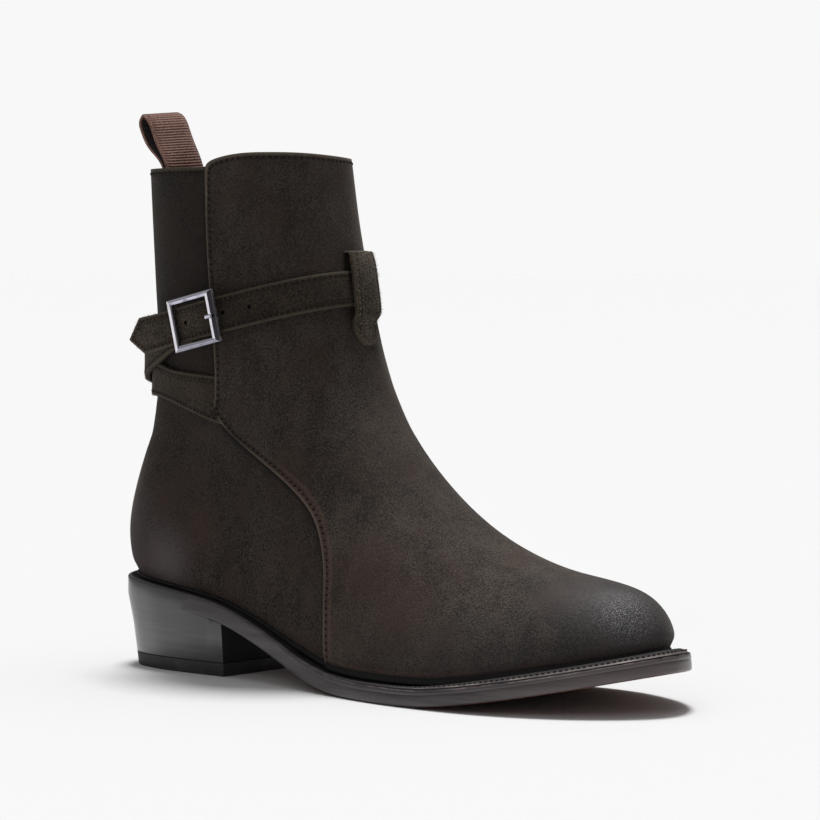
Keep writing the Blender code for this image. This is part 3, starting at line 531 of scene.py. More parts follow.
def smoothed(piece, rounding, levels, segments=2, curve_kind="CATMULL_CLARK"):
    """Rounded sharp edges and a subdivided surface, applied. SIMPLE keeps points crisp."""
    pick(piece)
    if rounding:
        bevel = piece.modifiers.new("rounded_edges", "BEVEL")
        bevel.width = rounding
        bevel.segments = segments
        bevel.limit_method = "ANGLE"
        bevel.angle_limit = SHARP
    if levels:
        curve = piece.modifiers.new("smooth_curve", "SUBSURF")
        curve.subdivision_type = curve_kind
        curve.levels = levels
        curve.render_levels = levels
    for modifier in list(piece.modifiers):
        bpy.ops.object.modifier_apply(modifier=modifier.name)
    bpy.ops.object.shade_smooth()
    return piece


def hand_over(piece, finish, slot, *nodes):
    """Give a finished piece its finish and body, and let it stand for its solids."""
    if not piece.data.materials:
        piece.data.materials.append(finish)
    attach(piece, BODY)
    if nodes:
        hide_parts(*nodes)
    print(piece.name, len(piece.data.polygons), "faces")
    return piece


# %% [markdown]
# Seams and stitches follow the edges of the panels. Those edges are where a solid's faces turn
# sharply, so they are read from the merged copy before it is rounded: each run of sharp edges
# between two corners is one path, such as the back edge of the vamp or the long edge of a strap.

# %% Edge paths
def sharp_paths(piece):
    """Runs of sharp edges between corners, as arrays of points."""
    work = bmesh.new()
    work.from_mesh(piece.data)
    links = {}
    for edge in work.edges:
        if len(edge.link_faces) == 2 and edge.calc_face_angle() > SHARP:
            for corner in edge.verts:
                links.setdefault(corner.index, []).append(edge)
    corners = [index for index in sorted(links) if len(links[index]) != 2]
    spent = set()
    paths = []
    work.verts.ensure_lookup_table()
    for start in corners + sorted(links):
        for first in links[start]:
            if first.index in spent:
                continue
            here, edge, points = work.verts[start], first, [work.verts[start].co.copy()]
            while edge is not None and edge.index not in spent:
                spent.add(edge.index)
                here = edge.other_vert(here)
                points.append(here.co.copy())
                onward = [e for e in links[here.index] if e.index not in spent]
                edge = onward[0] if len(links[here.index]) == 2 and onward else None
            paths.append(np.array(points))
    work.free()
    return paths


def length_of(path):
    return float(np.linalg.norm(np.diff(path, axis=0), axis=1).sum())


def longest(paths, count):
    return sorted(paths, key=length_of, reverse=True)[:count]


def distances(path):
    """How far along a path each of its points lies."""
    return np.concatenate([[0.0], np.cumsum(np.linalg.norm(np.diff(path, axis=0), axis=1))])


def points_at(path, at):
    """The points that lie at some distances along a path."""
    way = distances(path)
    return np.stack([np.interp(at, way, path[:, axis]) for axis in range(3)], axis=-1)


def spaced(path, spacing, easing=10):
    """A path's points at an even spacing, eased round its corners."""
    def at_steps(points, step):
        long = distances(points)[-1]
        return points_at(points, np.linspace(0.0, long, max(2, int(round(long / step)) + 1)))

    fine = at_steps(path, 1.0 * MM)
    for _ in range(easing):
        fine[1:-1] = (fine[:-2] + 2 * fine[1:-1] + fine[2:]) / 4
    return at_steps(fine, spacing)


# %% [markdown]
# A panel or strap is a sheet with an outer and an inner face, so each of its edges is a pair of paths.
# The outer path is the one that lies farther from the boot. A row of stitches is that path moved
# inwards over the outer face, found with a search tree that gives the nearest spot of a surface.

# %% Edges of sheets
def surface_of(piece):
    mesh = piece.data
    return BVHTree.FromPolygons([v.co for v in mesh.vertices], [p.vertices for p in mesh.polygons])


def spot_tree(spots):
    tree = KDTree(len(spots))
    for index, spot in enumerate(spots):
        tree.insert(spot, index)
    tree.balance()
    return tree


def sheet_edges(piece, shortest, ground):
    """Pairs of edge paths of a sheet: each outer edge with the inner one behind it."""
    paths = [path for path in sharp_paths(piece) if length_of(path) > shortest]
    trees = [spot_tree(spaced(path, 1.0 * MM, 0)) for path in paths]

    def lift(path):
        return np.mean([ground.find_nearest(Vector(point))[3] for point in path])

    def gap(path, tree):
        return np.mean([tree.find(point)[2] for point in path])

    pairs = []
    for index, path in enumerate(paths):
        others = [other for other in range(len(paths)) if other != index]
        partner = min(others, key=lambda other: gap(path, trees[other]))
        if lift(path) > lift(paths[partner]):
            pairs.append((path, paths[partner]))
    return pairs


def inset_row(path, inner, tree, inset):
    """A sheet's edge moved inwards over its outer face, as points, directions and normals."""
    behind = spot_tree(spaced(inner, 0.5 * MM, 0))
    row, normals = [], []
    for point, along in zip(path, np.gradient(path, axis=0)):
        spot = Vector(point)
        out = (spot - behind.find(spot)[0]).normalized()
        across = out.cross(Vector(along)).normalized() * inset
        found = min((tree.find_nearest(spot + side) for side in (across, -across)), key=lambda hit: hit[3])
        row.append(found[0])
        normals.append(found[1] if found[1].dot(out) > 0.2 else out)
    row = np.array(row)
    return row, np.gradient(row, axis=0), np.array(normals)


# %% [markdown]
# The finishes need the edges too: a raw edge is pale, partly as a painted highlight, and a seam is
# pressed in and darkened with painted shade, and a painted shadow lies beside the vamp's edge. So each
# vertex keeps its distance to the edges as an attribute. That is only as fine as the mesh is, and a finer
# mesh all over would be heavy, so just the faces beside an edge are subdivided first.

# %% Marks along edges
FINE_FACE = (1.0 * MM) ** 2
FARTHEST_MARK = 20.0


def unselect(piece):
    for part in (piece.data.vertices, piece.data.edges, piece.data.polygons):
        part.foreach_set("select", np.zeros(len(part), bool))


def finer_near(piece, paths, reach):
    """Cut the large faces near some edges in three each way, so that marks along them can be fine."""
    tree = spot_tree(np.concatenate([spaced(path, 1.0 * MM) for path in paths]))
    pick(piece)
    unselect(piece)
    for face in piece.data.polygons:
        face.select = face.area > FINE_FACE and tree.find(face.center)[2] < reach
    bpy.context.tool_settings.mesh_select_mode = (False, False, True)
    with editing(None):
        bpy.ops.mesh.subdivide(number_cuts=2)
        bpy.ops.mesh.select_mode(type="VERT")


def mark_rim(piece, paths, name="rim"):
    """Write each vertex's distance to the nearest of some edges, in millimetres."""
    tree = spot_tree(np.concatenate([spaced(path, 0.5 * MM) for path in paths]))
    away = [min(tree.find(v.co)[2] / MM, FARTHEST_MARK) for v in piece.data.vertices]
    rim = piece.data.attributes.new(name, "FLOAT", "POINT")
    rim.data.foreach_set("value", np.array(away, np.float32))


# %% [markdown]
# A stitch is a short length of waxed thread that dips into the leather at both ends. One is modelled
# from a sphere, pulled long and flattened, and copied along a row. The copies are joined in one mesh,
# because hundreds of separate objects would only slow the scene down.

# %% Stitches
def one_stitch(long, thick):
    """The corners and faces of one stitch, along X, half sunk at its ends."""
    bead = fresh(bpy.ops.mesh.primitive_uv_sphere_add, segments=8, ring_count=6, radius=0.5)
    with editing():
        bpy.ops.transform.rotate(value=math.pi / 2, orient_axis="Y", center_override=(0, 0, 0))
        bpy.ops.transform.resize(value=(long, thick, thick))
    corners, faces = taken(bead)
    corners[:, 2] -= 0.5 * thick * (2 * corners[:, 0] / long) ** 2
    return corners, faces


def discard(piece):
    mesh = piece.data
    bpy.data.objects.remove(piece)
    bpy.data.meshes.remove(mesh)


def taken(piece):
    """A modelled piece's corners and faces, with the piece itself removed."""
    corners = np.array([v.co for v in piece.data.vertices])
    faces = [tuple(p.vertices) for p in piece.data.polygons]
    discard(piece)
    return corners, faces


def joined(name, copies, faces, finish, slot):
    """One mesh of many copies, each given by its own corners."""
    all_faces = []
    for index, copy in enumerate(copies):
        all_faces += [tuple(index * len(copy) + corner for corner in face) for face in faces]
    mesh = bpy.data.meshes.new(name)
    mesh.from_pydata(np.concatenate(copies).tolist(), [], all_faces)
    mesh.shade_smooth()
    piece = bpy.data.objects.new(name, mesh)
    bpy.context.scene.collection.objects.link(piece)
    return hand_over(piece, finish, slot)


def strewn(name, rows, shape, lift, finish, slot, tilt=0.0):
    """Copies of one shape in rows, each row given as points, directions and normals."""
    corners, faces = shape
    copies = []
    for points, directions, normals in rows:
        for point, along, out in zip(points, directions, normals):
            out = out / np.linalg.norm(out)
            along = along - out * np.dot(along, out)
            along = along / max(np.linalg.norm(along), 1e-9)
            along = along * math.cos(tilt) + np.cross(out, along) * math.sin(tilt)
            turned = np.array([along, np.cross(out, along), out])
            copies.append(corners @ turned + point + out * lift)
    return joined(name, copies, faces, finish, slot)


def stitched(name, rows, long, thick, lift, finish, slot, tilt=0.0):
    """Rows of stitches, slanted by a tilt."""
    return strewn(name, rows, one_stitch(long, thick), lift, finish, slot, tilt)


# %% [markdown]
# The welt's outer edge is the line that everything at the bottom follows: the band round the sole, the
# rand, and the upper, which tucks in under itself where it was pulled over the last. So the edge is
# read once from the welt's solid, as points evenly spaced round it with the level direction outwards.

# %% The welt's edge
UP = np.array([0.0, 0.0, 1.0])
LIP_POINTS = 560
HIGH_BONUS = 5


def unit(rows):
    return rows / np.linalg.norm(rows, axis=1, keepdims=True)


def ring_eased(ring, times):
    """A closed ring, each time with every point drawn towards its two neighbours."""
    for _ in range(times):
        ring = (np.roll(ring, 1, axis=0) + 2 * ring + np.roll(ring, -1, axis=0)) / 4
    return ring


def even_ring(path, count, easing=6):
    """Points evenly round a closed path, and the level directions that point out of it."""
    loop = np.vstack([path, path[:1]])
    ring = points_at(loop, np.linspace(0.0, distances(loop)[-1], count, endpoint=False))
    ring = ring_eased(ring, easing)
    pace = np.roll(ring, -1, axis=0) - np.roll(ring, 1, axis=0)
    out = unit(np.cross(pace, UP))
    if np.sum(out * (ring - ring.mean(axis=0))) < 0:
        out = -out
    return ring, out


def eased(value, low, high):
    """0 below low and 1 above high, eased between them."""
    share = np.clip((value - low) / (high - low), 0.0, 1.0)
    return share * share * (3 - 2 * share)


welt = copy_of("welt", "welt_strip")
welt_edge = max(sharp_paths(welt), key=lambda path: length_of(path) + HIGH_BONUS * path[:, 2].mean())
lip, lip_out = even_ring(welt_edge, LIP_POINTS)
print("welt edge", round(length_of(lip) / MM), "mm round")

# %% [markdown]
# The upper is the quarter and its lining in one wall. The foot has never bent this boot, so there are
# only a few soft creases: at the ankle where the shaft meets the instep, and behind the ankle bone.
# They are placed one by one, and the vamp gets the same ones, because it lies on the quarter. At the
# bottom both panels are drawn in towards the last, which leaves a narrow shadow above the welt.

# %% Creases and tuck
CREASES = (
    # centre, direction, half length, half width, depth
    ((0.083, -0.016, 0.128), (0.35, 1.0, 0.05), 0.026, 0.0060, 0.7 * MM),
    ((0.094, -0.014, 0.110), (0.45, 1.0, 0.10), 0.030, 0.0070, 0.6 * MM),
    ((0.030, -0.032, 0.098), (1.0, 0.1, -0.35), 0.028, 0.0080, 0.6 * MM),
    ((-0.012, -0.020, 0.105), (1.0, -1.0, -0.10), 0.022, 0.0060, 0.5 * MM),
    ((0.175, -0.030, 0.040), (0.25, 1.0, 0.55), 0.028, 0.0090, 0.4 * MM),
)
TUCK_BELOW = 0.060
TUCK_HEIGHT = 8 * MM
TUCK_SIDE = 0.8 * MM
TUCK_TOE = 2.6 * MM
TOE_START = 0.18
TOE_FULL = 0.25


def corners_of(piece):
    spots = np.zeros(len(piece.data.vertices) * 3)
    piece.data.vertices.foreach_get("co", spots)
    return spots.reshape(-1, 3)


def move_corners(piece, spots):
    piece.data.vertices.foreach_set("co", spots.ravel())
    piece.data.update()


def tucked(piece):
    """Draw the lowest part of a panel in towards the last, most of all round the toe."""
    tree = spot_tree(lip * (1, 1, 0))
    spots = corners_of(piece)
    for index, spot in enumerate(spots):
        if spot[2] < TUCK_BELOW:
            near = tree.find((spot[0], spot[1], 0.0))[1]
            share = 1 - eased(spot[2] - lip[near][2], 0.0, TUCK_HEIGHT)
            deep = TUCK_SIDE + (TUCK_TOE - TUCK_SIDE) * eased(lip[near][0], TOE_START, TOE_FULL)
            spots[index] = spot - lip_out[near] * deep * share
    move_corners(piece, spots)


def creased(piece):
    """Press soft troughs into a surface, each with a low ridge on both sides."""
    spots = corners_of(piece)
    normals = np.array([v.normal for v in piece.data.vertices])
    for centre, direction, half_long, half_wide, depth in CREASES:
        along = np.array(direction) / np.linalg.norm(direction)
        away = spots - np.array(centre)
        reach = away @ along
        side = np.linalg.norm(away - reach[:, None] * along, axis=1) / half_wide
        fade = np.exp(-(reach / half_long) ** 2) * np.exp(-side**2)
        spots = spots - normals * (depth * fade * (1 - 0.5 * side**2))[:, None]
    move_corners(piece, spots)


# %% [markdown]
# The edges are read before the copies are rounded, and the panels are creased and tucked after. The
# vamp is finished here. The upper waits for its lining.

# %% The two panels
LAP_REACH = 5 * MM
MARGIN_REACH = 7 * MM
upper = copy_of("upper", "upper_shell")
solid_upper = surface_of(upper)
upper_paths = sharp_paths(upper)
smoothed(upper, 0.55 * MM, 2)
collar = max(upper_paths, key=lambda path: path[:, 2].mean() + 0.01 * length_of(path))

vamp = copy_of("vamp", "vamp_panel")
vamp_pairs = sheet_edges(vamp, 100 * MM, solid_upper)
vamp_edges = [outer for outer, _ in vamp_pairs]
smoothed(vamp, 0.35 * MM, 2)
finer_near(upper, vamp_edges, LAP_REACH)
finer_near(vamp, vamp_edges, MARGIN_REACH)
for panel in (upper, vamp):
    creased(panel)
    tucked(panel)
mark_rim(vamp, vamp_edges)
hand_over(vamp, vamp_suede, "upper_suede", "vamp")

# %% [markdown]
# The upper's solid is one wall, but the real one is suede outside and smooth hide inside. Which face is
# which shows from a ray along its normal: from the inside it crosses the hollow to the other wall.
# Near the open collar such a ray can escape, so there a face that looks inwards counts as lining.

# %% Lining
LINING_REACH = 8 * MM
HOLLOW_REACH = 0.15
COLLAR_LOW = 0.19
mark_rim(upper, [collar])
# The distance to the vamp's edges places the painted shadow beside the lap.
mark_rim(upper, vamp_edges, "lap")
upper.data.materials.append(quarter_suede)
upper.data.materials.append(lining_finish)
upper_skin = surface_of(upper)
shaft = collar.mean(axis=0)
for face in upper.data.polygons:
    start = face.center + face.normal * 0.3 * MM
    across = upper_skin.ray_cast(start, face.normal, HOLLOW_REACH)[3]
    inward = Vector((shaft[0] - face.center.x, shaft[1] - face.center.y, 0)).normalized()
    at_top = face.center.z > COLLAR_LOW and face.normal.dot(inward) > 0.5
    face.material_index = 1 if at_top or (across is not None and across > LINING_REACH) else 0
hand_over(upper, quarter_suede, "upper_suede", "upper")

# %% [markdown]
# The vamp is sewn down along its back edges and its top with one row of thread, close to the edge.
# The collar of the quarter has a row too, and the back of the shaft is closed by a narrow seam.

# %% Rows on the upper
VAMP_INSET = 2.2 * MM
VAMP_PITCH = 2.9 * MM
VAMP_STITCH = (2.2 * MM, 0.85 * MM)
COLLAR_STITCH = (2.0 * MM, 0.80 * MM)
SEAM_STITCH = (2.0 * MM, 0.70 * MM)
SLANT = math.radians(55)
UNDER_VAMP = 1.5 * MM
vamp_skin = surface_of(vamp)


def clear_of_vamp(row, gap):
    """A row without the stitches that the vamp covers."""
    free = [vamp_skin.find_nearest(Vector(spot))[3] > gap for spot in row[0]]
    return tuple(part[free] for part in row)


sewn = sorted(vamp_pairs, key=lambda pair: pair[0][:, 2].mean(), reverse=True)[:3]
rows = [inset_row(spaced(outer, VAMP_PITCH), inner, vamp_skin, VAMP_INSET) for outer, inner in sewn]
stitched("vamp_stitches", rows, *VAMP_STITCH, 0.0, vamp_thread, "upper_suede", SLANT)

rim_pair = sorted(longest(upper_paths, 4), key=lambda path: path[:, 2].mean())[2:]
rim_pair.sort(key=length_of, reverse=True)
row = inset_row(spaced(rim_pair[0], VAMP_PITCH, 0), rim_pair[1], upper_skin, VAMP_INSET)
row = clear_of_vamp(row, UNDER_VAMP)
stitched("collar_stitches", [row], *COLLAR_STITCH, 0.0, vamp_thread, "upper_suede", SLANT)

SEAM_LOW = 0.052
SEAM_HIGH = 0.216
SEAM_HALF = 1.8 * MM
BEHIND = -0.10
seam_rows = []
for side in (-SEAM_HALF, SEAM_HALF):
    heights = np.arange(SEAM_LOW, SEAM_HIGH, VAMP_PITCH)
    hits = [upper_skin.ray_cast(Vector((BEHIND, side, height)), Vector((1, 0, 0))) for height in heights]
    points = np.array([hit[0] for hit in hits])
    seam_rows.append((points, np.gradient(points, axis=0), np.array([hit[1] for hit in hits])))
stitched("back_seam_stitches", seam_rows, *SEAM_STITCH, -0.15 * MM, vamp_thread, "upper_suede")

# %% [markdown]
# Straps and keeper are sewn to the vamp, but solids may not overlap, so theirs stop short of it. Their
# ends could be sculpted by hand. Here they are moved by rule, which also moves the edge paths: a
# strap's end slides along its own direction and dips in under the vamp.

# %% Ends under the vamp
END_RUN = 15
END_REACH = 45 * MM
SLIDE = 11 * MM
SLIDE_REACH = 26 * MM
DIVE = 2.4 * MM
DIVE_REACH = 12 * MM


def ends_of(pairs):
    """Each end of a strap's outer edges, with the direction in which the edge runs out there."""
    ends = []
    for outer, _ in pairs:
        run = spaced(outer, 1.0 * MM, 0)
        ends += [(run[0], run[0] - run[END_RUN]), (run[-1], run[-1] - run[-1 - END_RUN])]
    return ends


def slid(spots, ends, widening):
    """Spots of a strap, moved on where its end runs in under the panel that covers it."""
    (low, low_way), (high, high_way) = sorted(ends, key=lambda end: end[0][2])
    middle = (low + high) / 2
    out = np.array(solid_upper.find_nearest(Vector(middle))[1])
    way = low_way / np.linalg.norm(low_way) + high_way / np.linalg.norm(high_way)
    way = way - out * np.dot(way, out)
    way = way / np.linalg.norm(way)
    up = np.cross(way, out)
    up = up * np.sign(up[2])
    across = (spots - low) @ up / np.dot(high - low, up)
    near = (np.abs(across - 0.5) < 1.0) & (np.linalg.norm(spots - middle, axis=1) < END_REACH)
    across = np.clip(across, 0.0, 1.0)
    behind = (low + across[:, None] * (high - low) - spots) @ way
    share = np.where(near, 1 - eased(behind, 0.0, SLIDE_REACH), 0.0)
    dive = np.where(near, 1 - eased(behind, 0.0, DIVE_REACH), 0.0)
    along = way * SLIDE + up * (widening * across)[:, None]
    return spots + along * share[:, None] - out * (DIVE * dive)[:, None]


def under_vamp(choose, widening=0.0):
    """A way to settle a strap: its end runs in under the vamp."""
    def settle(piece, pairs):
        ends = choose(ends_of(pairs))
        return lambda spots: slid(spots, ends, widening)
    return settle


# %% [markdown]
# The keeper is a loop of suede on the front of the shaft. Its upper end turns in to the vamp, and its
# lower end is a tab that lies on it. Both are pressed down by the gap that is measured there.

# %% Ends of the keeper
TAB_TALL = 10 * MM
TAB_GAP_MOST = 3 * MM
TIP_TALL = 3 * MM
TIP_NEAR = 0.5 * MM
TIP_FAR = 2.5 * MM
SEW_EASE = 4 * MM
SEWN_IN = 0.25 * MM


def sewn_down(piece, pairs):
    """A way to settle the keeper: its tab and its upper tip are pressed onto the vamp."""
    corners = corners_of(piece)
    low, high = corners[:, 2].min(), corners[:, 2].max()
    skin = surface_of(piece)

    def under(spots):
        return [vamp_skin.find_nearest(Vector(spot)) for spot in spots]

    def top(spots):
        return 1 - eased(high - spots[:, 2], TIP_TALL, TIP_TALL + SEW_EASE)

    feet = under(corners[corners[:, 2] < low + TAB_TALL])
    gaps = [skin.ray_cast(foot[0], foot[1], TAB_GAP_MOST)[3] for foot in feet]
    tab_gap = np.median([gap for gap in gaps if gap is not None])
    tip_gap = min(foot[3] for foot in under(corners[top(corners) > 0.99]))
    print(piece.name, "stood off by", round(tab_gap / MM, 2), "and", round(tip_gap / MM, 2), "mm")

    def moved(spots):
        feet = under(spots)
        out = np.array([foot[1] for foot in feet])
        away = np.array([foot[3] for foot in feet])
        tab = 1 - eased(spots[:, 2] - low, TAB_TALL, TAB_TALL + SEW_EASE)
        tip = top(spots) * (1 - eased(away, tip_gap + TIP_NEAR, tip_gap + TIP_FAR))
        return spots - out * (tab * (tab_gap + SEWN_IN) + tip * (tip_gap + 2 * SEWN_IN))[:, None]
    return moved


# %% [markdown]
# The straps are doubled suede, cut with raw edges and sewn along both sides. The long one comes from
# under the vamp, goes round the back, through the keeper and the buckle, and ends in a point. Each is
# rounded and settled first, and its stitches are laid last, so that they follow its ends.

# %% Straps
STRAP_INSET = 1.7 * MM
STRAP_PITCH = 2.6 * MM
STRAP_STITCH = (1.8 * MM, 0.80 * MM)
COVERED = 0.8 * MM


def strap(node, name, finish, thread, settle, rounding=0.45 * MM, curve_kind="SIMPLE"):
    """A strap with rounded raw edges, and the pairs of its long edges."""
    piece = copy_of(node, name)
    pairs = sheet_edges(piece, 60 * MM, solid_upper)
    smoothed(piece, rounding, 2, curve_kind=curve_kind)
    moved = settle(piece, pairs)
    move_corners(piece, moved(corners_of(piece)))
    pairs = [tuple(moved(spaced(path, 1.0 * MM, 0)) for path in pair) for pair in pairs]
    mark_rim(piece, [outer for outer, _ in pairs])
    skin = surface_of(piece)
    rows = []
    for outer, inner in pairs:
        row = inset_row(spaced(outer, STRAP_PITCH, 4), inner, skin, STRAP_INSET)
        rows.append(clear_of_vamp(row, COVERED))
    stitched(name + "_stitches", rows, *STRAP_STITCH, -0.05 * MM, thread, "strap_suede")
    return hand_over(piece, finish, "strap_suede", node), pairs


ankle_strap, ankle_pairs = strap("ankle_strap", "ankle_strap_suede", strap_suede, strap_thread,
                                 under_vamp(lambda ends: ends[:2], 6.5 * MM))
_, buckle_pairs = strap("buckle_strap", "buckle_strap_suede", strap_suede, strap_thread,
                        under_vamp(lambda ends: sorted(ends, key=lambda end: end[0][1])[-2:]))
_, keeper_pairs = strap("strap_keeper", "keeper_suede", keeper_suede, keeper_thread,
                        sewn_down, 0.80 * MM, "CATMULL_CLARK")

# %% [markdown]
# Cut suede frays. Short loose fibres stand out from the raw edges of the straps, and they soften the
# outline. A hair system could grow them, but the export wants meshes, so one thin spike is modelled
# and strewn along the edges, each copy leaning its own way from a seeded random source.

# %% Fibres on the raw edges
FIBRE_LONG = 1.3 * MM
FIBRE_THICK = 0.13 * MM
FIBRE_PITCH = 0.35 * MM
FIBRE_SEED = 7


def one_fibre():
    """The corners and faces of one thin spike along X."""
    spike = fresh(bpy.ops.mesh.primitive_cone_add, vertices=3, radius1=FIBRE_THICK / 2,
                  radius2=FIBRE_THICK / 8, depth=FIBRE_LONG)
    with editing():
        bpy.ops.transform.rotate(value=-math.pi / 2, orient_axis="Y", center_override=(0, 0, 0))
        bpy.ops.transform.translate(value=(FIBRE_LONG * 0.35, 0, 0))
    return taken(spike)


chance = np.random.default_rng(FIBRE_SEED)
fibre_rows = []
# The keeper frays most, so its edges are taken twice.
for outer, inner in ankle_pairs + buckle_pairs + keeper_pairs + keeper_pairs:
    roots = spaced(outer, FIBRE_PITCH, 4)
    behind = spot_tree(spaced(inner, 0.5 * MM, 0))
    out = unit(roots - np.array([behind.find(root)[0] for root in roots]))
    roots = roots - out * chance.uniform(0.0, 1.6, (len(roots), 1)) * MM
    lean = out * 0.5 + chance.normal(0.0, 0.7, roots.shape)
    fibre_rows.append((roots, lean, np.cross(lean, chance.normal(0.0, 1.0, roots.shape))))
strewn("strap_fibres", fibre_rows, one_fibre(), 0.0, fibre_finish, "strap_suede")

# %% [markdown]
# The strap is punched for the prong. The holes could be painted on, but a real hole stays dark from
# every side, so a short cylinder is set through the strap at each place and cut out with a Boolean. The
# cylinder's near-black finish passes to the cut walls, as painted shade.

# %% Strap holes
HOLE_RADIUS = 0.95 * MM
HOLE_DEEP = 2.8 * MM
HOLES = (
    # places a little outside the strap's face
    (0.0640, -0.0392, 0.1653),
    (0.0513, -0.0430, 0.1626),
    (0.0297, -0.0451, 0.1578),
)

strap_skin = surface_of(ankle_strap)
for place in HOLES:
    spot, out = strap_skin.find_nearest(Vector(place))[:2]
    punch = fresh(bpy.ops.mesh.primitive_cylinder_add, vertices=14, radius=HOLE_RADIUS, depth=HOLE_DEEP,
                  location=spot, rotation=out.to_track_quat("Z", "Y").to_euler())
    # This near-black finish passes to the hole's walls as painted shade.
    punch.data.materials.append(hole_finish)
    pick(ankle_strap)
    cut = ankle_strap.modifiers.new("punched_hole", "BOOLEAN")
    cut.object = punch
    cut.solver = "EXACT"
    cut.material_mode = "TRANSFER"
    bpy.ops.object.modifier_apply(modifier=cut.name)
    discard(punch)
pick(ankle_strap)
bpy.ops.object.shade_smooth_by_angle(angle=math.radians(45))
ankle_strap.data.attributes.remove(ankle_strap.data.attributes["rim"])
mark_rim(ankle_strap, [outer for outer, _ in ankle_pairs])
print("holes:", len(HOLES), "faces of the strap:", len(ankle_strap.data.polygons))

# %% [markdown]
# The pull loop is a ribbed cotton tape folded double. Its ribs run across the tape and are about a
# millimetre apart, so they are modelled: one bar is made of a circle extruded in short steps, and each
# copy is bent to the tape. Inside the fold little light gets in, so the ribs there are nearly black,
# and where the two legs of the tape meet there is no room for ribs at all.

# %% One rib
RIB_PITCH = 1.35 * MM
RIB_THICK = 1.15 * MM
FOLD_REACH = 20 * MM
CLOSED_GAP = 4 * MM
OUTER_BOW = 2.0 * MM
INNER_BOW = 1.6 * MM
RIB_STEPS = 6
RIB_MARGIN = 0.03
RIB_SUNK = 0.33 * MM


def one_rib(thick):
    """The corners and faces of one bar that runs from 0 to 1 along Z."""
    bar = fresh(bpy.ops.mesh.primitive_circle_add, vertices=8, radius=thick / 2, fill_type="NGON")
    with editing():
        for _ in range(RIB_STEPS):
            bpy.ops.mesh.extrude_region_move(TRANSFORM_OT_translate={"value": (0, 0, 1 / RIB_STEPS)})
        bpy.ops.mesh.select_all(action="SELECT")
        bpy.ops.mesh.normals_make_consistent(inside=False)
    return taken(bar)


def gap_at(spot, out, skin):
    """How far a spot of the tape is from its own other leg, or None where it faces outwards."""
    return skin.ray_cast(Vector(spot) + out * 0.5 * MM, out, FOLD_REACH)[3]


def bent(corners, start, end, bow, skin):
    """A bar's corners, laid over one face of the bowed tape from one edge to the other."""
    placed = []
    for side, height, share in corners:
        chord = Vector(start + (end - start) * (RIB_MARGIN + (1 - 2 * RIB_MARGIN) * share))
        spot, normal = skin.find_nearest(chord + bow)[:2]
        across = normal.cross(Vector(end - start)).normalized()
        placed.append(spot + across * side + normal * (height - RIB_SUNK))
    return np.array(placed)


# %% [markdown]
# The tape's solid is rounded, and a ray from each face tells whether it looks at the tape's other leg.
# Then the ribs are laid from edge to edge, a pitch apart, outside and inside the fold.

# %% Tape and ribs
tape = copy_of("pull_loop", "webbing_tape")
tape_edges = longest(sharp_paths(tape), 8)
smoothed(tape, 0.30 * MM, 1)
tape_skin = surface_of(tape)
tape.data.materials.append(webbing_finish)
tape.data.materials.append(webbing_inside)
# Faces inside the fold take the painted-shade webbing.
for face in tape.data.polygons:
    face.material_index = int(gap_at(face.center, face.normal, tape_skin) is not None)
hand_over(tape, webbing_finish, "loop_webbing", "pull_loop")

rib_corners, rib_faces = one_rib(RIB_THICK)
ribs = {False: [], True: []}
for left in (path for path in tape_edges if path[:, 1].mean() < 0):
    level = left * (1, -1, 1)
    right = min((path for path in tape_edges if path[:, 1].mean() > 0),
                key=lambda path: np.linalg.norm(path[len(path) // 2] - level[len(level) // 2]))
    for start, end in zip(spaced(left, RIB_PITCH, 0), spaced(right, RIB_PITCH, 0)):
        spot, out = tape_skin.find_nearest(Vector(start + (end - start) * 0.05))[:2]
        gap = gap_at(spot, out, tape_skin)
        inside = gap is not None
        bow = out * (INNER_BOW if inside else OUTER_BOW)
        facing = tape_skin.find_nearest(Vector((start + end) / 2) + bow)[1]
        if facing.dot(out) > 0.5 and not (inside and gap < CLOSED_GAP):
            ribs[inside].append(bent(rib_corners, start, end, bow, tape_skin))
joined("webbing_ribs", ribs[False], rib_faces, webbing_finish, "loop_webbing")
joined("webbing_ribs_inside", ribs[True], rib_faces, webbing_inside, "loop_webbing")

# %% [markdown]
# On the real boot welt and outsole are trimmed together and dressed as one band, with a rounded lip on
# top and a fine groove towards the toe. Two separate solids can't show that, so a band is laid over
# both: a circle of points is extruded ring by ring through the section, and its open ends are bridged.

# %% Bands
SOLE_DEEP = 8.0 * MM
front = eased(lip[:, 0], 0.06, 0.18)
foot = lip + lip_out * 0.4 * MM - UP * SOLE_DEEP


def band_ring(share, outward, upward=0.0):
    """One ring of the band: a share of the way down, moved outwards and up in millimetres."""
    outward = np.broadcast_to(outward, len(lip))[:, None]
    upward = np.broadcast_to(upward, len(lip))[:, None]
    return lip * (1 - share) + foot * share + lip_out * outward * MM + UP * upward * MM


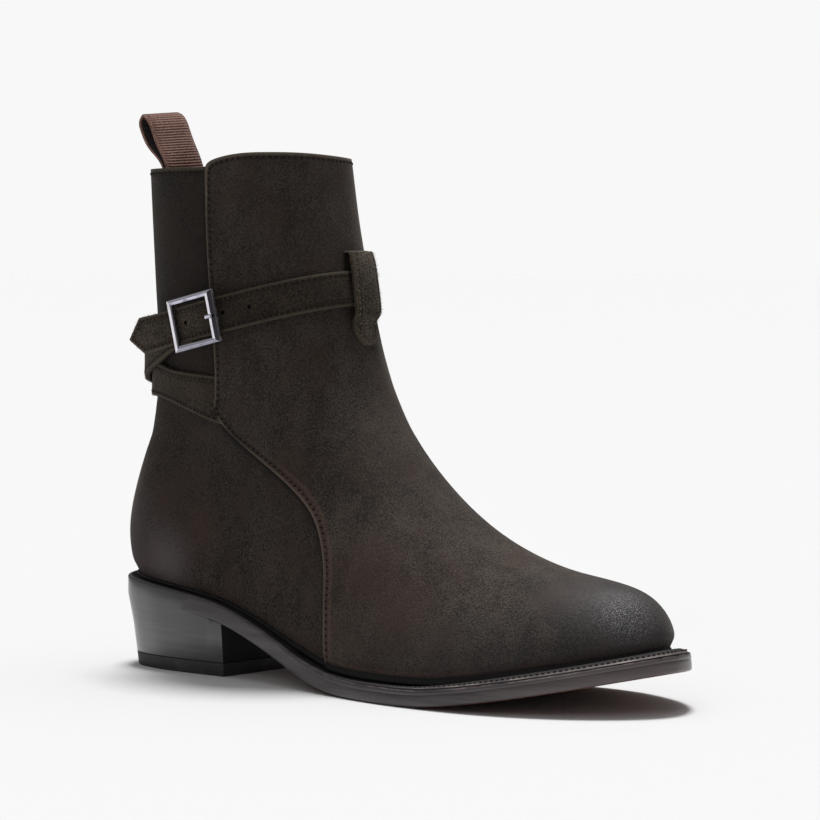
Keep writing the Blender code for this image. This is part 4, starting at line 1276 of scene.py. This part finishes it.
def hoop(name, rings, levels):
    """A closed band through rings of points, with each ring's level kept as an attribute."""
    count = len(rings[0])
    piece = fresh(bpy.ops.mesh.primitive_circle_add, vertices=count, radius=1.0)
    piece.name = name
    with editing(None):
        bpy.ops.mesh.select_mode(type="EDGE")
        bpy.ops.mesh.select_all(action="SELECT")
        for _ in rings[1:]:
            bpy.ops.mesh.extrude_edges_move()
        bpy.ops.mesh.select_mode(type="VERT")
        bpy.ops.mesh.select_all(action="DESELECT")
    move_corners(piece, np.concatenate(rings))
    band = piece.data.attributes.new("band", "FLOAT", "POINT")
    band.data.foreach_set("value", np.repeat(levels, count).astype(np.float32))
    for corner in piece.data.vertices:
        corner.select = corner.index < count or corner.index >= count * (len(rings) - 1)
    with editing(None):
        bpy.ops.mesh.bridge_edge_loops()
        bpy.ops.mesh.select_all(action="SELECT")
        bpy.ops.mesh.normals_make_consistent(inside=False)
    bpy.ops.object.shade_smooth()
    return piece


# %% [markdown]
# The section is a table of rings, from the top of the welt over the lip and the groove to the underside.
# Each ring's level, from 0 to 1, is what the finish uses to tell lip, groove and sole apart. A row of
# heavy stitches on the welt shows only in front, where the welt slopes out past the upper.

# %% Section of the band
WELT_STITCH = (1.7 * MM, 0.60 * MM)
edge_round = 0.12 + 0.65 * front
slope = eased(lip[:, 0], 0.13, 0.22)
section = (
    # level, ring
    (0.00, band_ring(0.0, -3.4 - 2.2 * slope, 0.04 + 2.0 * slope)),
    (0.06, band_ring(0.0, -1.4 - 0.8 * slope, 0.12 + 1.0 * slope)),
    (0.14, band_ring(0.0, -0.10 - 0.70 * front, 0.08 + 0.02 * front)),
    (0.22, band_ring(0.0, 0.32 - 0.22 * front, -0.12 - 0.60 * front)),
    (0.34, band_ring(0.16, 0.38)),
    (0.47, band_ring(0.31, 0.40)),
    (0.52, band_ring(0.35, 0.40 - 0.30 * front)),
    (0.57, band_ring(0.39, 0.40)),
    (0.72, band_ring(0.68, 0.42)),
    (0.90, band_ring(1.0, 0.34, edge_round)),
    (0.96, band_ring(1.0, 0.34 - edge_round, 0.02)),
    (1.00, band_ring(1.0, -4.0, 0.03)),
    (1.00, band_ring(0.5, -4.0)),
)
sole_band = hoop("sole_band", [ring for _, ring in section], [level for level, _ in section])
hand_over(smoothed(sole_band, 0, 1), edge_finish, "sole_edge")
ahead = np.nonzero(slope > 0.15)[0][::2]
row = (band_ring(0.0, -1.5, 0.10 + 0.75 * slope), np.gradient(lip, axis=0), UP + 0.3 * lip_out)
row = tuple(part[ahead] for part in row)
stitched("welt_stitches", [row], *WELT_STITCH, 0.05 * MM, welt_thread, "sole_edge")

# %% [markdown]
# Outsole, welt, heel and top lift keep the shape of their solids, with crisp edges only softened. The
# heel's top is drawn out a little and extruded up over the band, because the real heel and the edge of
# the sole above it are sanded and polished together, so that no line shows between them. Towards the
# breast the drawn-up part sinks back into the band, where the sole's edge goes on alone.

# %% Sole and heel
HEEL_RIM = 0.026
HEEL_SINK = 1.8 * MM
HEEL_RISE = 7.9 * MM
HEEL_FLARE = (1.020, 1.023, 1.0)
SOLE_DRAWN_IN = (0.995, 0.985, 1.0)
smoothed(welt, 0.40 * MM, 0)
hand_over(welt, welt_finish, "sole_edge", "welt")
outsole = copy_of("outsole", "outsole_leather")
low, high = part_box("outsole")
with editing():
    bpy.ops.transform.resize(value=SOLE_DRAWN_IN, center_override=((low + high) / 2))
smoothed(outsole, 0.35 * MM, 0)
hand_over(outsole, tread_finish, "sole_edge", "outsole")

heel = copy_of("heel", "heel_stack")
unselect(heel)
for corner in heel.data.vertices:
    corner.select = corner.co.z > HEEL_RIM
low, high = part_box("heel")
middle = ((low.x + high.x) / 2, (low.y + high.y) / 2, high.z)
with editing(None):
    bpy.ops.mesh.select_mode(type="VERT")
    bpy.ops.transform.resize(value=HEEL_FLARE, center_override=middle)
    bpy.ops.mesh.extrude_region_move(TRANSFORM_OT_translate={"value": (0, 0, HEEL_RISE)})
spots = corners_of(heel)
sunk = HEEL_SINK * eased(spots[:, 0], 0.012, 0.040) * (spots[:, 2] > HEEL_RIM)
spots[:, 1] = spots[:, 1] - np.sign(spots[:, 1]) * sunk
move_corners(heel, spots)
smoothed(heel, 0.12 * MM, 0)
bpy.ops.object.shade_smooth_by_angle(angle=math.radians(35))
hand_over(heel, heel_finish, "heel_stack", "heel")
top_lift = smoothed(copy_of("top_lift", "top_lift_cap"), 0.40 * MM, 0)
hand_over(top_lift, lift_finish, "top_lift_rubber", "top_lift")
sock = smoothed(copy_of("insole", "sock_lining"), 0.40 * MM, 0)
hand_over(sock, sock_finish, "insole_leather", "insole")

# %% [markdown]
# A rand, a black strip of leather with close-set notches, covers the seam between upper and welt. Its
# place is found by rays from outside onto the upper and vamp, and its notches are a wave on its rings.

# %% Rand
RAND_PITCH = 2.3 * MM
RAND_NOTCH = 0.10
RAND_POINTS = 1700
RAND_LEVEL = 1.6
RAY_START = 12 * MM
feather = min(upper_paths, key=lambda path: path[:, 2].mean() - 0.01 * length_of(path))
base, base_out = even_ring(feather, RAND_POINTS, 20)
skins = (surface_of(upper), surface_of(vamp))
wall = []
for spot, out in zip(base + UP * RAND_LEVEL * MM, base_out):
    hits = [skin.ray_cast(Vector(spot + out * RAY_START), Vector(-out)) for skin in skins]
    wall.append(min((hit for hit in hits if hit[0]), key=lambda hit: hit[3])[0])
wall = ring_eased(np.array(wall), 30)
rand_tall = 1.1 + 2.1 * eased(wall[:, 0], 0.04, 0.14)
notches = round(length_of(wall) / RAND_PITCH)
notch = RAND_NOTCH * np.cos(np.arange(len(wall)) * 2 * math.pi * notches / len(wall))
notch = notch * eased(wall[:, 0], 0.08, 0.16)


def rand_ring(outward, height, notched=0.0):
    """One ring: outward in millimetres, its height as a share of the rand's own, deeper at the notches."""
    upward = height * rand_tall - RAND_LEVEL
    return wall + base_out * (outward + notched * notch)[:, None] * MM + UP * upward[:, None] * MM


rand_section = (rand_ring(-0.6, 1.0), rand_ring(0.20, 1.0, 0.6), rand_ring(0.75, 0.82, 1.0),
                rand_ring(1.05, 0.5, 1.0), rand_ring(1.20, 0.12, 0.6), rand_ring(1.25, -0.1),
                rand_ring(-0.8, -0.1))
rand = hoop("rand_strip", rand_section, np.linspace(0.0, 1.0, len(rand_section)))
hand_over(rand, rand_finish, "sole_edge")

# %% [markdown]
# The buckle is a cast frame with mitred corners: each side has a ridge, with a slope to the window and a
# slope outwards, and the slopes get different painted reflections. Its place and turn are read from the
# solid, a frame of four corners is extruded through the section like the band, and the bar is cut from
# the solid.

# %% Buckle
BAR_BACK = 3.0
BAR_FORE = 4.2
BAR_SIDE = 2.4
FRAME_DEEP = 2.2
BAR_TOP = 1.2
PRONG_CUT = 0.30
bar = copy_of("buckle_frame", "buckle_bar")
spots = corners_of(bar)
flat = np.array(max(bar.data.polygons, key=lambda face: face.area).normal)
outward = flat if flat[1] < 0 else -flat
face_level = (spots @ outward).max()
face = spots[spots @ outward > face_level - 0.1 * MM]
backward = np.linalg.svd(face - face.mean(axis=0))[2][0]
backward = backward if backward[0] < 0 else -backward
upward = np.cross(outward, backward)
plate = spots[spots @ outward > face_level - FRAME_DEEP * MM]
low_back, high_back = (plate @ backward).min(), (plate @ backward).max()
low_up, high_up = (plate @ upward).min(), (plate @ upward).max()
buckle_size = (np.array([high_back - low_back, high_up - low_up]) / MM).round(1)
print("buckle", buckle_size, "mm, facing", outward.round(2))


def frame_ring(back, fore, side, deep):
    """Four corners of the frame, drawn in from its sides and lying under its face, in millimetres."""
    ends = (high_back - back * MM, low_back + fore * MM)
    sides = (low_up + side * MM, high_up - side * MM)
    turns = ((0, 0), (1, 0), (1, 1), (0, 1))
    return np.array([backward * ends[end] + upward * sides[half] + outward * (face_level - deep * MM)
                     for end, half in turns])


frame_section = (frame_ring(0.0, 0.0, 0.0, FRAME_DEEP), frame_ring(0.0, 0.0, 0.0, 0.8),
                 frame_ring(2.5, 2.1, 1.2, 0.0), frame_ring(BAR_BACK, BAR_FORE, BAR_SIDE, 0.5),
                 frame_ring(BAR_BACK, BAR_FORE, BAR_SIDE, FRAME_DEEP))
buckle = smoothed(hoop("buckle_nickel", frame_section, np.linspace(0.0, 1.0, 5)), 0.15 * MM, 0)
bpy.ops.object.shade_smooth_by_angle(angle=math.radians(12))
hand_over(buckle, metal_finish, "buckle_metal", "buckle_frame")

pick(bar)
with editing():
    bpy.ops.mesh.bisect(plane_co=outward * (face_level - BAR_TOP * MM), plane_no=outward,
                        clear_outer=True, use_fill=True)
    bpy.ops.mesh.select_all(action="DESELECT")
bpy.ops.object.shade_smooth_by_angle(angle=math.radians(40))
hand_over(bar, bar_finish, "buckle_metal")
prong = copy_of("buckle_prong", "prong_nickel")
spots = corners_of(prong)
reach = spots @ backward - (spots @ backward).min()
move_corners(prong, spots - backward * (PRONG_CUT * reach)[:, None])
smoothed(prong, 0.50 * MM, 1, segments=3)
hand_over(prong, metal_finish, "buckle_metal", "buckle_prong")

# %% [markdown]
# The boot stands on a plain pale floor under one broad overhead light, as in a studio. The top of the
# foot catches the light and the sides stay dark, lit mostly by the floor. Wide suns are used instead
# of softboxes, because a sun lights the floor evenly as far as the camera sees. The world is dim, but
# rays straight from the camera see it white, so that floor and background run into each other.

# %% Floor and light
scene = bpy.context.scene
scene.view_settings.view_transform = "Standard"
WHITE = 0.94
DIM = 0.24
world = bpy.data.worlds.new("white_studio")
world.use_nodes = True
sky = world.node_tree
background = sky.nodes["Background"]
background.inputs["Color"].default_value = (1.0, 1.0, 1.0, 1.0)
rays = sky.nodes.new("ShaderNodeLightPath")
level = sky.nodes.new("ShaderNodeMapRange")
level.inputs["To Min"].default_value = DIM
level.inputs["To Max"].default_value = WHITE
sky.links.new(rays.outputs["Is Camera Ray"], level.inputs["Value"])
sky.links.new(level.outputs["Result"], background.inputs["Strength"])
scene.world = world

floor = fresh(bpy.ops.mesh.primitive_grid_add, x_subdivisions=8, y_subdivisions=8, size=60)
floor.name = "floor"
paper = Finish("pale_paper")
grain = paper.noise(0.004, 2.0, 0.5)
tint = paper.mix(grain, shade(201, 201, 201), shade(203, 203, 203))
floor.data.materials.append(paper.set(Base_Color=tint, Roughness=0.95, Specular_IOR_Level=0.1))


def wide_sun(name, toward, width, power):
    """A sun of a given angular width that shines along a direction."""
    lamp = bpy.data.lights.new(name, "SUN")
    lamp.angle = math.radians(width)
    lamp.energy = power
    holder = bpy.data.objects.new(name, lamp)
    scene.collection.objects.link(holder)
    holder.rotation_euler = Vector(toward).to_track_quat("-Z", "Y").to_euler()


wide_sun("overhead_light", (0.12, -0.16, -1.0), 14, 3.54)
wide_sun("broad_light", (0.12, -0.14, -1.0), 55, 0.7)
wide_sun("side_light", (-0.2, 1.0, -0.8), 30, 0.25)
print("lights:", len(bpy.data.lights))
